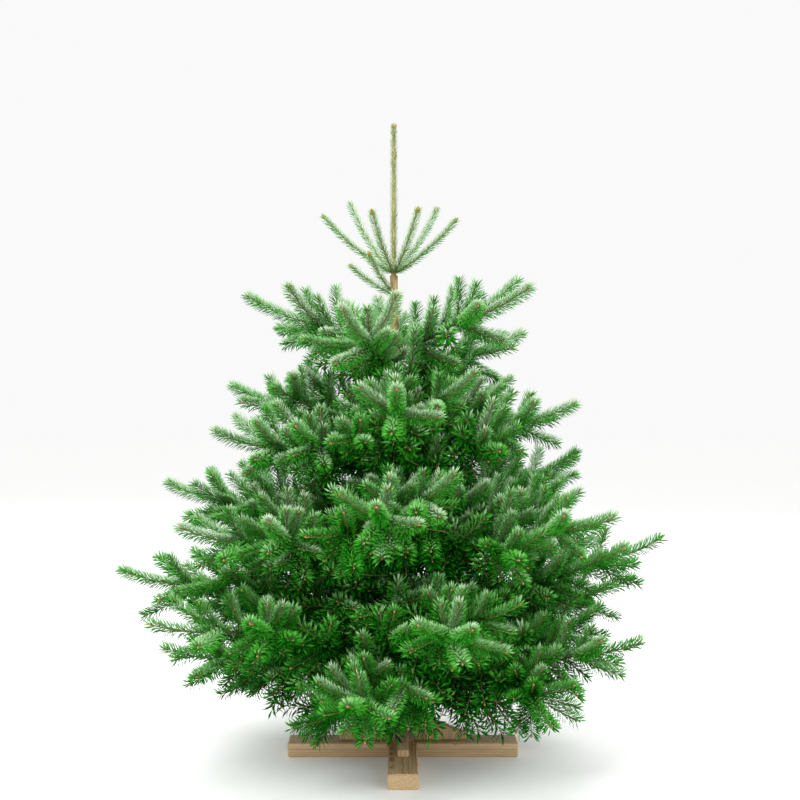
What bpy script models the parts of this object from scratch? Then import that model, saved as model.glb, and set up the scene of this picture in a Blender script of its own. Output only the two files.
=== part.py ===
"""A cut Christmas fir, 1.5 m from the cut to the tip bud, standing in a plain wooden cross.

Metres, +Z up. The origin is the middle of the stand's underside, and -Y is the tree's front.
Every tier of boughs is grown from a few sizes by one seeded rule. A bough carries a mass of foliage:
a stem that branches in pairs, with a toothed spray of needles on each year's growth.
"""

import math
import random
from collections import namedtuple

import bmesh
import bpy
from mathutils import Matrix, Vector

CLEAR = 0.0003  # gap between pieces that touch

# The stand: two timbers halved into each other, and four braces against the trunk.
TIMBER_LENGTH = 0.56
TIMBER_WIDTH = 0.070
TIMBER_DEPTH = 0.036
TIMBER_CHAMFER = 0.003
BRACE_START = 0.024  # from the stand's middle: inside the trunk, which a brace is cut to
BRACE_REACH = 0.130
BRACE_HEIGHT = 0.098
BRACE_HEAD = 0.034  # depth of the upright part that is screwed to the trunk
BRACE_HEAD_FOOT = 0.054  # height at which the slope starts
BRACE_TOE = 0.016
BRACE_WIDTH = 0.026
BRACE_CHAMFER = 0.002
CUTTER_PAST = 0.020  # how far a cutter runs past what it cuts

# The trunk. Heights on the tree are measured from its cut.
TREE_HEIGHT = 1.500
CUT_Z = TIMBER_DEPTH + CLEAR
TRUNK_FOOT_RADIUS = 0.0300
TRUNK_TOP_RADIUS = 0.0080  # under the newest whorl
TRUNK_TAPER = 0.9  # power of the taper: under 1, the trunk thins fastest near its foot
TRUNK_STATIONS = 27  # up to the newest whorl
FLARE = 0.0045
FLARE_HEIGHT = 0.035
WHORL_SWELLING = 0.0022
WHORL_SPAN = 0.020
TRUNK_LEAN = 0.022  # how far the newest whorl stands towards -X
TRUNK_BOW = 0.004
LEVEL_FOOT = 0.012  # the lean starts above this height, so that the cut is level
LEADER_FOOT = 0.012  # height of the leader's foot above the newest whorl
LEADER_STATIONS = 4
LEADER_RADIUS = (0.0052, 0.0036)
LEADER_BUDS = 4  # three round the middle one
BUD_LENGTH = 0.016
BUD_RADIUS = 0.0052
BUD_LEAN = 32.0
BUD_SUNK = 0.3  # share of a bud's length that the leader's tip fills
LEADER_NEEDLES = 18
LEADER_NEEDLE_LENGTH = 0.013
LEADER_NEEDLE_RADII = (0.0016, 0.0008)
LEADER_NEEDLE_LEAN = 28.0
LEADER_BARE = (0.05, 0.04)  # lengths without needles, above the newest whorl and under the buds
GOLDEN_ANGLE = 137.5

# The bare inner limb of a bough.
BOUGH_STEPS = 4
BOUGH_COLLAR = (1.30, 1.12)  # thickness at the trunk, to the limb's own
BOUGH_TAPER = 0.05  # thinner by this share of the limb's radius each step

# The foliage.
SPRAY_HALF_WIDTH = 0.044
STEM_HALF_WIDTH = 0.025
SPRAY_SLENDERNESS = 0.32  # a short spray's half width is no more than this share of its length
SPRAY_NARROWING = (1.0, 0.8, 0.62)  # widths tried, as shares, where the mass's space is tight
SPRAY_EDGE_POINTS = (0.35, 0.65, 0.9)  # places along its edges that are kept in that space
SPRAY_CRESTS = (0.034, -0.020)  # how far a spray stands above its shoot, and below it
SPRAY_TEETH = 1  # on each side
SPRAY_NOTCH = 0.45  # half width between teeth, to the half width at them
SPRAY_CREST_AT = 0.40  # where along it a spray is thickest
SPRAY_ROOT = 0.009  # how far a spray is sunk in what it grows from
SPRAY_OVERHANG = 0.018  # needles reach past the end of their shoot
STEM_TAPER = 0.9  # thickness of a mass's stem, to the bough that it carries on
TWIG_TAPER = 0.62  # from one year's growth to the next
SIDE_TAPER = 0.8  # thickness of a side limb, to the limb it leaves
SIDE_SHARE = 0.80  # length of a side limb's growth, to that of the limb it leaves
SIDE_SPREAD = 47.0
LIFT_SPREAD = (16.0, 32.0, 0.0)  # how far one limb of a pair is lifted and the other dropped, by order
UPPER_LIFT = 46.0  # of the limb above each pair, against the limb it leaves
UPPER_SHARE = 0.52
UPPER_CURL = -10.0
UNDER_LIFT = -38.0  # of the limb below each pair
UNDER_SHARE = 0.70
UPPER_TURN = 20.0  # how far the limbs above and below a pair turn to either side
SPREAD_DRAW = 5.0  # how far the seeded draws move each angle and share, either way
LIFT_DRAW = 8.0
UPPER_DRAW = 6.0
SHARE_DRAW = 0.1
CURL_DRAW = 2.0
OLDEST_SPREAD_DRAW = 8.0  # the oldest side limbs only spread and rise further
OLDEST_LIFT_DRAW = 12.0
OLDEST_YEARS = 2  # growths on each of them, but only one on the limb below
OLDEST_UPPER_LIFT = 54.0
OLDEST_UPPER_CURL = -24.0
SPACE_MARGIN = 0.003
FLOOR_ROOM = 0.030  # foliage stays this far above the floor
FOLIAGE_ORDERS = 2  # side limbs of side limbs. A limb above or below counts as two orders finer.
CUT_SHORT = (1.0, 0.75, 0.55)  # lengths tried, as shares, where the mass's space ends
OLDEST_FOOT = 0.26  # where on a mass's first shoot its oldest side limbs start, as a share of its length
STEM_BARE = 0.30  # share of a mass's first shoot that carries no needles
SEAM_SHARE = 0.60  # of a mass's faces that stay once the seams between its sprays are simplified

# rise: angle above level at the trunk and at the tip. bare: length of the limb before its foliage.
# boughs: bearing anticlockwise from +X, reach from the trunk, extra rise, and drop below the whorl.
Tier = namedtuple("Tier", "name height rise reach bare years side_lift limb_radius boughs")
TIERS = [
    Tier("tier1", 1.135, (44, 46), 0.15, 0, 1, 0, 0.0025,
         ((186, 0.165, -5, 0), (141, 0.135, 8, 0), (247, 0.125, 3, 0),
          (295, 0.130, 3, 0), (41, 0.135, 6, 0), (338, 0.155, -6, 0))),
    Tier("tier1_lower", 1.085, (38, 42), 0.10, 0, 1, 0, 0.0027,
         ((176, 0.100, -4, 0), (222, 0.075, 12, 0))),
    Tier("tier2", 0.955, (18, 28), 0.36, 0, 2, 8, 0.0050,
         ((180, 0.350, -1, 0), (250, 0.330, 2, 0.055), (327, 0.355, 1, 0),
          (24, 0.340, -6, 0.050), (102, 0.330, 0, 0.020))),
    Tier("tier3", 0.755, (12, 22), 0.44, 0, 3, 4, 0.0060,
         ((165, 0.420, -1, 0), (202, 0.450, -4, 0.090), (270, 0.420, 2, 0.020),
          (344, 0.430, -2, 0.040), (50, 0.430, 0, 0), (110, 0.420, -4, 0.080))),
    Tier("tier4", 0.525, (10, 18), 0.55, 0.080, 3, 2, 0.0065,
         ((174, 0.555, -3, 0.020), (212, 0.550, -3, 0.080), (265, 0.500, 0, 0.020),
          (326, 0.545, -2, 0.055), (34, 0.545, 1, 0), (106, 0.520, -3, 0.070))),
    Tier("tier5", 0.300, (8, 14), 0.62, 0.120, 3, 0, 0.0072,
         ((182, 0.650, 0, 0), (212, 0.620, 0, 0.060), (284, 0.570, 0, 0.030),
          (350, 0.600, 9, 0.010), (20, 0.615, -1, 0.060), (108, 0.600, 0, 0.030))),
    Tier("tier6", 0.155, (2, 8), 0.55, 0.100, 3, 0, 0.0070,
         ((196, 0.545, 6, 0), (258, 0.510, 4, 0.020), (337, 0.560, 8, 0),
          (44, 0.530, 1, 0.020), (135, 0.540, 2, 0))),
]
NEWEST_WHORL = TIERS[0].height

Shoot = namedtuple("Shoot", "start end up order year last radius half_width")


# ---------------------------------------------------------------- scene and materials


def clear_scene():
    for thing in list(bpy.data.objects):
        bpy.data.objects.remove(thing)


def new_collection(name):
    collection = bpy.data.collections.new(name)
    bpy.context.scene.collection.children.link(collection)
    return collection


def material(name, colour, roughness):
    made = bpy.data.materials.new(name)
    made.use_nodes = True
    surface = made.node_tree.nodes["Principled BSDF"]
    surface.inputs["Base Color"].default_value = (*colour, 1)
    surface.inputs["Roughness"].default_value = roughness
    surface.inputs["Metallic"].default_value = 0.0
    return made


def object_of(name, mesh, collection, matrix=None):
    made = bpy.data.objects.new(name, mesh)
    collection.objects.link(made)
    if matrix is not None:
        made.matrix_world = matrix
    return made


def mesh_from(name, bm):
    bmesh.ops.recalc_face_normals(bm, faces=bm.faces)
    mesh = bpy.data.meshes.new(name)
    bm.to_mesh(mesh)
    bm.free()
    return mesh


def frozen(thing):
    """Replaces an object by its evaluated mesh, with loose caps welded on."""
    graph = bpy.context.evaluated_depsgraph_get()
    mesh = bpy.data.meshes.new_from_object(thing.evaluated_get(graph))
    bm = bmesh.new()
    bm.from_mesh(mesh)
    bmesh.ops.remove_doubles(bm, verts=bm.verts, dist=1e-6)
    bm.to_mesh(mesh)
    bm.free()
    name = thing.name
    made = object_of(name, mesh, thing.users_collection[0], thing.matrix_world.copy())
    bpy.data.objects.remove(thing)
    made.name = name
    return made


def joined(thing, others, operation="UNION", solver="EXACT"):
    """thing joined with, or cut by, a collection of objects. A union uses its collection up."""
    boolean = thing.modifiers.new(operation.lower(), "BOOLEAN")
    boolean.operation = operation
    boolean.operand_type = "COLLECTION"
    boolean.collection = others
    boolean.solver = solver
    made = frozen(thing)
    if operation == "UNION":
        for used in list(others.objects):
            bpy.data.objects.remove(used)
    return made


def simplified(thing, share):
    """A fused mass with the small faces along its seams collapsed, down to a share of its faces."""
    decimate = thing.modifiers.new("seams", "DECIMATE")
    decimate.ratio = share
    return frozen(thing)


def drop_scraps(thing):
    """Leaves a fused mass its one large shell. Loose scraps go, and so do the shells of sealed hollows."""
    bm = bmesh.new()
    bm.from_mesh(thing.data)
    unseen = set(bm.faces)
    shells = []
    while unseen:
        waiting = [unseen.pop()]
        shell = []
        while waiting:
            face = waiting.pop()
            shell.append(face)
            whole = [edge for edge in face.edges if len(edge.link_faces) == 2]
            beside = {other for edge in whole for other in edge.link_faces} & unseen
            unseen -= beside
            waiting += beside
        shells.append(shell)
    for scrap in sorted(shells, key=len)[:-1]:
        bmesh.ops.delete(bm, geom=scrap, context="FACES")
    bm.to_mesh(thing.data)
    bm.free()


def cone_mesh(name, sides, radii, length):
    """A cone cut short, standing on the XY plane."""
    foot, top = radii
    bm = bmesh.new()
    bmesh.ops.create_cone(bm, cap_ends=True, segments=sides, radius1=foot, radius2=top, depth=length)
    bmesh.ops.translate(bm, verts=bm.verts, vec=(0, 0, length / 2))
    return mesh_from(name, bm)


def tapered_limb(name, points, radii, collection, bevel_resolution):
    """A limb along points, as a curve with a round section, made a mesh."""
    curve = bpy.data.curves.new(name, "CURVE")
    curve.dimensions = "3D"
    curve.bevel_depth = 1.0
    curve.bevel_resolution = bevel_resolution
    curve.use_fill_caps = True
    spline = curve.splines.new("POLY")
    spline.points.add(len(points) - 1)
    for knot, point, radius in zip(spline.points, points, radii):
        knot.co = (*point, 1)
        knot.radius = radius
    return frozen(object_of(name, curve, collection))


def placed_along(start, heading, up):
    """A frame at start with +X along heading and +Z as near to up as it goes."""
    x = heading.normalized()
    y = up.cross(x).normalized()
    z = x.cross(y)
    return Matrix.Translation(start) @ Matrix((x, y, z)).transposed().to_4x4()


def standing_on(foot, heading):
    """A frame at foot with +Z along heading."""
    return Matrix.Translation(foot) @ heading.to_track_quat("Z", "Y").to_matrix().to_4x4()


def shade_round(thing):
    thing.data.shade_smooth()
    thing.data.set_sharp_from_angle(angle=math.radians(40))


# ---------------------------------------------------------------- trunk


def trunk_centre(height):
    """The trunk's axis: upright at its foot, leaning to the newest whorl, then upright as the leader."""
    share = min(max(height - LEVEL_FOOT, 0.0) / (NEWEST_WHORL - LEVEL_FOOT), 1.0)
    lean = -TRUNK_LEAN * share
    bow = TRUNK_BOW * math.sin(math.pi * share)
    return Vector((lean, bow, CUT_Z + height))


def trunk_radius(height):
    share = max(height, 0.0) / NEWEST_WHORL
    if share > 1.0:
        along = (height - NEWEST_WHORL) / (TREE_HEIGHT - NEWEST_WHORL)
        return LEADER_RADIUS[0] + (LEADER_RADIUS[1] - LEADER_RADIUS[0]) * along
    radius = TRUNK_FOOT_RADIUS + (TRUNK_TOP_RADIUS - TRUNK_FOOT_RADIUS) * share**TRUNK_TAPER
    radius += FLARE * math.exp(-max(height, 0.0) / FLARE_HEIGHT)
    for tier in TIERS:
        radius += WHORL_SWELLING * math.exp(-(((height - tier.height) / WHORL_SPAN) ** 2))
    return radius


def trunk_body(name, collection, foot=0.0, extra=0.0):
    leader_base = NEWEST_WHORL + LEADER_FOOT
    stride = (leader_base - LEVEL_FOOT) / (TRUNK_STATIONS - 1)
    heights = sorted({foot, 0.0}) + [LEVEL_FOOT + stride * i for i in range(TRUNK_STATIONS)]
    top = TREE_HEIGHT - BUD_LENGTH * (1 - BUD_SUNK)
    stride = (top - leader_base) / LEADER_STATIONS
    heights += [leader_base + stride * (i + 1) for i in range(LEADER_STATIONS)]
    centres = [trunk_centre(h) for h in heights]
    radii = [trunk_radius(h) + extra for h in heights]
    return tapered_limb(name, centres, radii, collection, bevel_resolution=3)


def leader_bud(number, collection):
    """One of the pointed buds clustered on the leader's tip. The last is the middle one."""
    lean_out = 0.0 if number == LEADER_BUDS - 1 else BUD_LEAN
    heading = heading_of(360 * number / (LEADER_BUDS - 1), 90 - lean_out)
    foot = trunk_centre(TREE_HEIGHT - BUD_LENGTH)
    bm = bmesh.new()
    bmesh.ops.create_uvsphere(bm, u_segments=6, v_segments=5, radius=1.0)
    bmesh.ops.scale(bm, verts=bm.verts, vec=(BUD_RADIUS, BUD_RADIUS, BUD_LENGTH / 2))
    bmesh.ops.translate(bm, verts=bm.verts, vec=(0, 0, BUD_LENGTH / 2))
    return object_of(f"bud_{number}", mesh_from("bud", bm), collection, standing_on(foot, heading))


def leader_needle(number, collection):
    """One of the short needles that lie up against the leader, placed round it by the golden angle."""
    run = TREE_HEIGHT - NEWEST_WHORL - sum(LEADER_BARE)
    foot = trunk_centre(NEWEST_WHORL + LEADER_BARE[0] + run * number / LEADER_NEEDLES)
    heading = heading_of(number * GOLDEN_ANGLE, 90 - LEADER_NEEDLE_LEAN)
    needle = cone_mesh("leader_needle", 3, LEADER_NEEDLE_RADII, LEADER_NEEDLE_LENGTH)
    return object_of(f"leader_needle_{number}", needle, collection, standing_on(foot, heading))


def make_trunk(collection, pieces, bark):
    trunk = trunk_body("trunk", collection)
    for number in range(LEADER_BUDS):
        leader_bud(number, pieces)
    for number in range(LEADER_NEEDLES):
        leader_needle(number, pieces)
    trunk = joined(trunk, pieces)
    shade_round(trunk)
    trunk.data.materials.append(bark)


# ---------------------------------------------------------------- the rule that boughs and foliage grow by


def heading_of(bearing, rise):
    flat, up = math.cos(math.radians(rise)), math.sin(math.radians(rise))
    return Vector((flat * math.cos(math.radians(bearing)), flat * math.sin(math.radians(bearing)), up))


def lifted(heading, degrees):
    """heading tilted towards the sky."""
    side = heading.cross(Vector((0, 0, 1))).normalized()
    return (Matrix.Rotation(math.radians(degrees), 3, side) @ heading).normalized()


def up_of(heading):
    return (Vector((0, 0, 1)) - heading * heading.z).normalized()


def side_heading(heading, side, spread, lift):
    """The heading of a side limb, which leaves its limb in the limb's own plane."""
    turned = Matrix.Rotation(math.radians(side * spread), 3, up_of(heading)) @ heading
    return lifted(turned, lift)


class Limb:
    """A bough's course: how high it stands at each distance from the trunk, and how near a point is to it."""

    def __init__(self, tier, bough):
        self.bearing, self.reach, extra, drop = bough
        self.foot = trunk_centre(tier.height - drop)
        self.low, self.high = (math.tan(math.radians(rise + extra)) for rise in tier.rise)

    def away(self, point):
        """How far a point is from the bough, measured round the trunk, up and down, and past the tip."""
        across = point - self.foot
        distance = math.hypot(across.x, across.y)
        turn = math.atan2(across.y, across.x) - math.radians(self.bearing)
        sideways = 2 * distance * math.sin(turn / 2)
        height = self.low * distance + (self.high - self.low) * distance**2 / (2 * self.reach)
        return math.hypot(sideways, across.z - height, max(distance - self.reach, 0))


class Space:
    """The space that one mass of foliage keeps to: all that is nearer to its own bough than to any other."""

    def __init__(self, limbs, own):
        self.own = limbs[own]
        self.others = [limb for place, limb in limbs.items() if place != own]

    def holds(self, point):
        away = self.own.away(point) + SPACE_MARGIN
        return point.z > FLOOR_ROOM and all(away < other.away(point) for other in self.others)


def either_way(draw, most):
    return draw.uniform(-most, most)


def grown(key, space, start, heading, lengths, order, curl, side_lift, radius):
    """The shoots of a limb: each year's growth, and at its end a pair of side limbs, one above and one below.

    key names the limb, and with the year it seeds every draw. A limb stops where its mass's space does.
    """
    for year, length in enumerate(lengths):
        draw = random.Random(f"{key}.{year}")
        up = up_of(heading)
        thinner = radius * TWIG_TAPER
        if order == 0 and year == 0:
            cut, half_width = 1.0, STEM_HALF_WIDTH
        else:
            cut, half_width = room_for(space, start, heading * length, up)
        if not half_width:
            return
        end = start + heading * length * cut
        later = lengths[year + 1 :] if cut == 1 else []
        yield Shoot(start, end, up, order, year, not later, (radius, thinner), half_width)
        if not later:
            return
        for limb in "rlud":
            side = -1 if limb == "r" else 1
            spread = SIDE_SPREAD + either_way(draw, SPREAD_DRAW)
            lift = side_lift + side * LIFT_SPREAD[order] * (-1) ** year + either_way(draw, LIFT_DRAW)
            share, growths, turn, finer = SIDE_SHARE, later, curl, 1
            if limb in "ud":
                spread, finer = either_way(draw, UPPER_TURN), 2
            if limb == "u":
                lift, share, turn = UPPER_LIFT + either_way(draw, UPPER_DRAW), UPPER_SHARE, UPPER_CURL
            if limb == "d":
                lift, share, growths = UNDER_LIFT + either_way(draw, UPPER_DRAW), UNDER_SHARE, later[:1]
            share *= 1 + either_way(draw, SHARE_DRAW)
            if order + finer <= FOLIAGE_ORDERS:
                yield from grown(
                    f"{key}.{year}{limb}",
                    space,
                    end,
                    side_heading(heading, side, spread, lift),
                    [share * growth for growth in growths],
                    order + finer,
                    turn,
                    side_lift / 2,
                    thinner * SIDE_TAPER,
                )
        heading = lifted(heading, curl + either_way(draw, CURL_DRAW))
        start = end
        radius = thinner


def room_for(space, start, growth, up):
    """How much of a growth its mass's space has room for, as a share, and its spray's half width there."""
    for cut in CUT_SHORT:
        half_width = half_width_in(space, start, start + growth * cut, up)
        if half_width:
            return cut, half_width
    return 0, 0


def half_width_in(space, start, end, up):
    """The half width of the spray on a shoot: as wide as the mass's space lets it be, or 0 without room."""
    along = end - start
    tip = end + along.normalized() * SPRAY_OVERHANG
    half_width = min(SPRAY_HALF_WIDTH, SPRAY_SLENDERNESS * along.length)
    across = up.cross(along).normalized()
    if not space.holds(tip) or not space.holds(end):
        return 0
    for narrowing in SPRAY_NARROWING:
        reach = across * half_width * narrowing
        crest = up * narrowing * half_width / SPRAY_HALF_WIDTH
        rim = [start + along * share + side * reach for share in SPRAY_EDGE_POINTS for side in (-1, 1)]
        rim += [start + along * SPRAY_CREST_AT + crest * height for height in SPRAY_CRESTS]
        if all(space.holds(point) for point in rim):
            return half_width * narrowing
    return 0


def limb_of(tier, bough):
    """A bough's start on the trunk's axis, its heading there, and how much it lifts along its length."""
    bearing, reach, extra, drop = bough
    start = trunk_centre(tier.height - drop)
    heading = heading_of(bearing, tier.rise[0] + extra)
    return start, heading, reach, tier.rise[1] - tier.rise[0]


# ---------------------------------------------------------------- boughs and masses of foliage


def spray_mesh():
    """A toothed blade of needles, from (0, 0) to (1, 0) and 1 each way across, thickest near its root."""
    bm = bmesh.new()
    bmesh.ops.create_uvsphere(bm, u_segments=4 * SPRAY_TEETH + 2, v_segments=2, radius=1.0)
    bmesh.ops.rotate(bm, verts=bm.verts, matrix=Matrix.Rotation(math.pi / 2, 3, "Z"))
    for vert in bm.verts:
        crest = abs(vert.co.z) > 0.5
        turn = abs(math.degrees(math.atan2(vert.co.y, vert.co.x)))
        step = round(turn * (2 * SPRAY_TEETH + 1) / 180)
        if crest:
            vert.co.x = 2 * SPRAY_CREST_AT - 1
            vert.co.z = SPRAY_CRESTS[0] if vert.co.z > 0 else SPRAY_CRESTS[1]
        elif step % 2 == 0:
            vert.co.y *= SPRAY_NOTCH
        vert.co.x = (vert.co.x + 1) / 2
    return mesh_from("spray", bm)


def add_twig(shoot, collection, sides=3):
    """The wood of one year's growth."""
    along = shoot.end - shoot.start
    twig = cone_mesh("twig", sides, shoot.radius, along.length)
    return object_of("twig", twig, collection, standing_on(shoot.start, along))


def add_spray(shoot, spray, collection):
    along = shoot.end - shoot.start
    root = shoot.start - along.normalized() * SPRAY_ROOT
    length = (shoot.end - root).length + (SPRAY_OVERHANG if shoot.last else SPRAY_OVERHANG / 2)
    size = Matrix.Diagonal((length, shoot.half_width, shoot.half_width / SPRAY_HALF_WIDTH, 1))
    return object_of("spray", spray, collection, placed_along(root, along, shoot.up) @ size)


def make_bough(name, tier, bough, collection, clearing, bark):
    """The bare inner limb of a bough, with a collar, cut to the trunk. Gives its tip and heading there."""
    start, heading, reach, curl = limb_of(tier, bough)
    stride = (tier.bare + trunk_radius(tier.height)) / BOUGH_STEPS
    points = [start]
    for _ in range(BOUGH_STEPS):
        points.append(points[-1] + heading * stride)
        heading = lifted(heading, curl * stride / reach)
    thickness = [*BOUGH_COLLAR, *(1 - BOUGH_TAPER * step for step in range(1, BOUGH_STEPS))]
    radii = [tier.limb_radius * share for share in thickness]
    direction = (points[-1] - points[-2]).normalized()
    limb = tapered_limb(name, points, radii, collection, bevel_resolution=1)
    limb = joined(limb, clearing, "DIFFERENCE")
    shade_round(limb)
    limb.data.materials.append(bark)
    return points[-1] + direction * CLEAR, direction, radii[-1]


def make_foliage(name, place, space, entry, spray, collections, needles):
    """A mass of foliage from one stem: twigs by the growth rule, with a spray of needles fused on each."""
    parts, pieces, clearing = collections
    tier_number, bough_number = place
    tier = TIERS[tier_number]
    bough = tier.boughs[bough_number]
    start, heading, reach, curl = limb_of(tier, bough)
    radius = tier.limb_radius
    if entry:
        start, heading, radius = entry
    run = (reach - tier.bare) / math.cos(math.radians(sum(tier.rise) / 2 + bough[2]))
    lengths = [run / tier.years] * tier.years
    key = f"{tier.name}.{bough_number}"
    shoots = list(
        grown(key, space, start, heading, lengths, 0, curl / tier.years, tier.side_lift, radius * STEM_TAPER)
    )
    if tier.years > 1:
        shoots += oldest_limbs(key, space, shoots[0], lengths, tier)
    stem = add_twig(shoots[0], parts, sides=6)
    for shoot in shoots[1:]:
        if not shoot.last and shoot.order == 0:
            add_twig(shoot, pieces)
    for shoot in shoots:
        add_spray(outer_part(shoot, STEM_BARE) if shoot is shoots[0] else shoot, spray, pieces)
    stem = joined(stem, pieces, solver="MANIFOLD")
    if len(shoots) > 1:
        stem = simplified(stem, SEAM_SHARE)
    if not entry:
        stem = joined(stem, clearing, "DIFFERENCE", solver="MANIFOLD")
    drop_scraps(stem)
    stem.name = name
    stem.data.materials.append(needles)


def outer_part(shoot, share):
    """The shoot from a share of its length on, for a spray that starts clear of the trunk or bough."""
    return shoot._replace(start=shoot.start.lerp(shoot.end, share))


def oldest_limbs(key, space, stem, lengths, tier):
    """The oldest side limbs, which leave a mass's stem near its foot: a pair, one above and one below."""
    heading = (stem.end - stem.start).normalized()
    foot = stem.start.lerp(stem.end, OLDEST_FOOT)
    for limb in "rlud":
        draw = random.Random(f"{key}.old{limb}")
        side = -1 if limb == "r" else 1
        spread = SIDE_SPREAD + draw.uniform(0, OLDEST_SPREAD_DRAW)
        lift, years, curl, order = tier.side_lift, OLDEST_YEARS, 0, 1
        if limb == "u":
            lift, curl = OLDEST_UPPER_LIFT + draw.uniform(0, OLDEST_LIFT_DRAW), OLDEST_UPPER_CURL
        if limb == "d":
            lift, years = UNDER_LIFT, 1
        if limb in "ud":
            spread, order = either_way(draw, UPPER_TURN), 2
        yield from grown(
            f"{key}.old{limb}",
            space,
            foot,
            side_heading(heading, side, spread, lift),
            [SIDE_SHARE * lengths[0]] * years,
            order,
            curl,
            tier.side_lift / 2,
            stem.radius[1] * SIDE_TAPER,
        )


# ---------------------------------------------------------------- stand


def chamfered(thing, width):
    bevel = thing.modifiers.new("chamfer", "BEVEL")
    bevel.width = width
    bevel.segments = 1
    bevel.limit_method = "ANGLE"
    return thing


def box(name, size, centre, collection):
    bm = bmesh.new()
    bmesh.ops.create_cube(bm, size=1.0)
    bmesh.ops.scale(bm, verts=bm.verts, vec=size)
    bmesh.ops.translate(bm, verts=bm.verts, vec=centre)
    return object_of(name, mesh_from(name, bm), collection)


def make_timber(name, turned, parts, cutters, wood):
    """One timber of the cross. The two are alike, one with its halving on top and one beneath."""
    timber = box(name, (TIMBER_LENGTH, TIMBER_WIDTH, TIMBER_DEPTH), (0, 0, TIMBER_DEPTH / 2), parts)
    chamfered(timber, TIMBER_CHAMFER)
    half = TIMBER_DEPTH / 2
    side = -1 if turned else 1
    notch_size = (TIMBER_WIDTH + 2 * CLEAR, TIMBER_WIDTH + 2 * CUTTER_PAST, half + CUTTER_PAST)
    notch_z = half + side * (notch_size[2] - CLEAR) / 2
    notch = box(f"{name}_halving", notch_size, (0, 0, notch_z), cutters)
    halving = timber.modifiers.new("halving", "BOOLEAN")
    halving.operation = "DIFFERENCE"
    halving.object = notch
    timber.data.materials.append(wood)
    if turned:
        quarter = Matrix.Rotation(math.pi / 2, 4, "Z")
        timber.matrix_world = quarter
        notch.matrix_world = quarter
    return timber


def make_brace(number, parts, clearing, wood):
    """A brace on one arm of the cross: an upright head against the trunk and a slope down to the arm."""
    profile = [
        (0, 0),
        (BRACE_REACH, 0),
        (BRACE_REACH, BRACE_TOE),
        (BRACE_HEAD, BRACE_HEAD_FOOT),
        (BRACE_HEAD, BRACE_HEIGHT),
        (0, BRACE_HEIGHT),
    ]
    bm = bmesh.new()
    corners = [bm.verts.new((BRACE_START + x, BRACE_WIDTH / 2, z)) for x, z in profile]
    cheek = bm.faces.new(corners)
    swept = bmesh.ops.extrude_face_region(bm, geom=[cheek])
    moved = [v for v in swept["geom"] if isinstance(v, bmesh.types.BMVert)]
    bmesh.ops.translate(bm, verts=moved, vec=(0, -BRACE_WIDTH, 0))
    brace = object_of(f"stand_brace_{number}", mesh_from("brace", bm), parts)
    chamfered(brace, BRACE_CHAMFER)
    turned = Matrix.Rotation(number * math.pi / 2, 4, "Z")
    brace.matrix_world = Matrix.Translation((0, 0, CUT_Z)) @ turned
    brace = joined(brace, clearing, "DIFFERENCE")
    brace.data.materials.append(wood)


# ---------------------------------------------------------------- the whole tree


def main():
    clear_scene()
    parts = new_collection("christmas_tree")
    pieces = new_collection("pieces_to_fuse")
    cutters = new_collection("cutters")
    clearing = new_collection("trunk_clearing")
    bark = material("bark", (0.24, 0.17, 0.10), 0.85)
    needles = material("needles", (0.07, 0.24, 0.08), 0.55)
    wood = material("stand_wood", (0.62, 0.46, 0.28), 0.65)

    make_trunk(parts, pieces, bark)
    trunk_body("trunk_clearing", clearing, foot=-CUTTER_PAST, extra=CLEAR)
    make_timber("stand_timber_lower", False, parts, cutters, wood)
    make_timber("stand_timber_upper", True, parts, cutters, wood)
    for number in range(1, 5):
        make_brace(number, parts, clearing, wood)

    spray = spray_mesh()
    limbs = {
        (tier_number, bough_number): Limb(tier, bough)
        for tier_number, tier in enumerate(TIERS)
        for bough_number, bough in enumerate(tier.boughs)
    }
    for place in limbs:
        tier = TIERS[place[0]]
        label = f"{tier.name}_{place[1] + 1}"
        entry = None
        if tier.bare:
            entry = make_bough(f"bough_{label}", tier, tier.boughs[place[1]], parts, clearing, bark)
        space = Space(limbs, place)
        make_foliage(f"foliage_{label}", place, space, entry, spray, (parts, pieces, clearing), needles)
    for helper in [*cutters.objects, *clearing.objects]:
        helper.hide_render = True
        helper.display_type = "WIRE"


main()
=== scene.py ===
"""A cut Nordmann fir in a plain wooden cross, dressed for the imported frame.

Metres, +Z up, -Y the tree's front. The sections follow the tree as it is put together: trunk, boughs,
shoots, needles, buds, leader and stand, and then the studio.
"""

import itertools
import math
import random
from collections import namedtuple

import bpy
import numpy as np
from mathutils import Matrix, Vector, noise


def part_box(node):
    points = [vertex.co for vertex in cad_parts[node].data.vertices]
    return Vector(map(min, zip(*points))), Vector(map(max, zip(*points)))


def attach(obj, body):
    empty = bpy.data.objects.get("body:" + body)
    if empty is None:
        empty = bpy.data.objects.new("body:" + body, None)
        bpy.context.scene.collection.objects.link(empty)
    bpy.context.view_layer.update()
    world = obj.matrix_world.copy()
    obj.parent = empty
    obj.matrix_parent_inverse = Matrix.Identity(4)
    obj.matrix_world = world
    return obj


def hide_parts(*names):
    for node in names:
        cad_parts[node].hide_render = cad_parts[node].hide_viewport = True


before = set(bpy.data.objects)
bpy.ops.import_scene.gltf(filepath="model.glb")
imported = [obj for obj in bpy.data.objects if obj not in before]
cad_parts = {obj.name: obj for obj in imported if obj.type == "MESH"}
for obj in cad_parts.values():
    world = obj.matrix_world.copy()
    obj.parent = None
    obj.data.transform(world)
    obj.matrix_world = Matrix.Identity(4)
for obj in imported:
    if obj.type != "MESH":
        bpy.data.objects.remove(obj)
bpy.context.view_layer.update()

# ------------------------------------------------------------------------------------------------ trunk
# The stem of a young fir, felled with one straight cut. Its bark is thin and grey-brown, with shallow
# cracks and resin blisters, and it swells at each whorl of boughs. Above the newest whorl it is the
# leader, one year old, smooth and olive.

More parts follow.
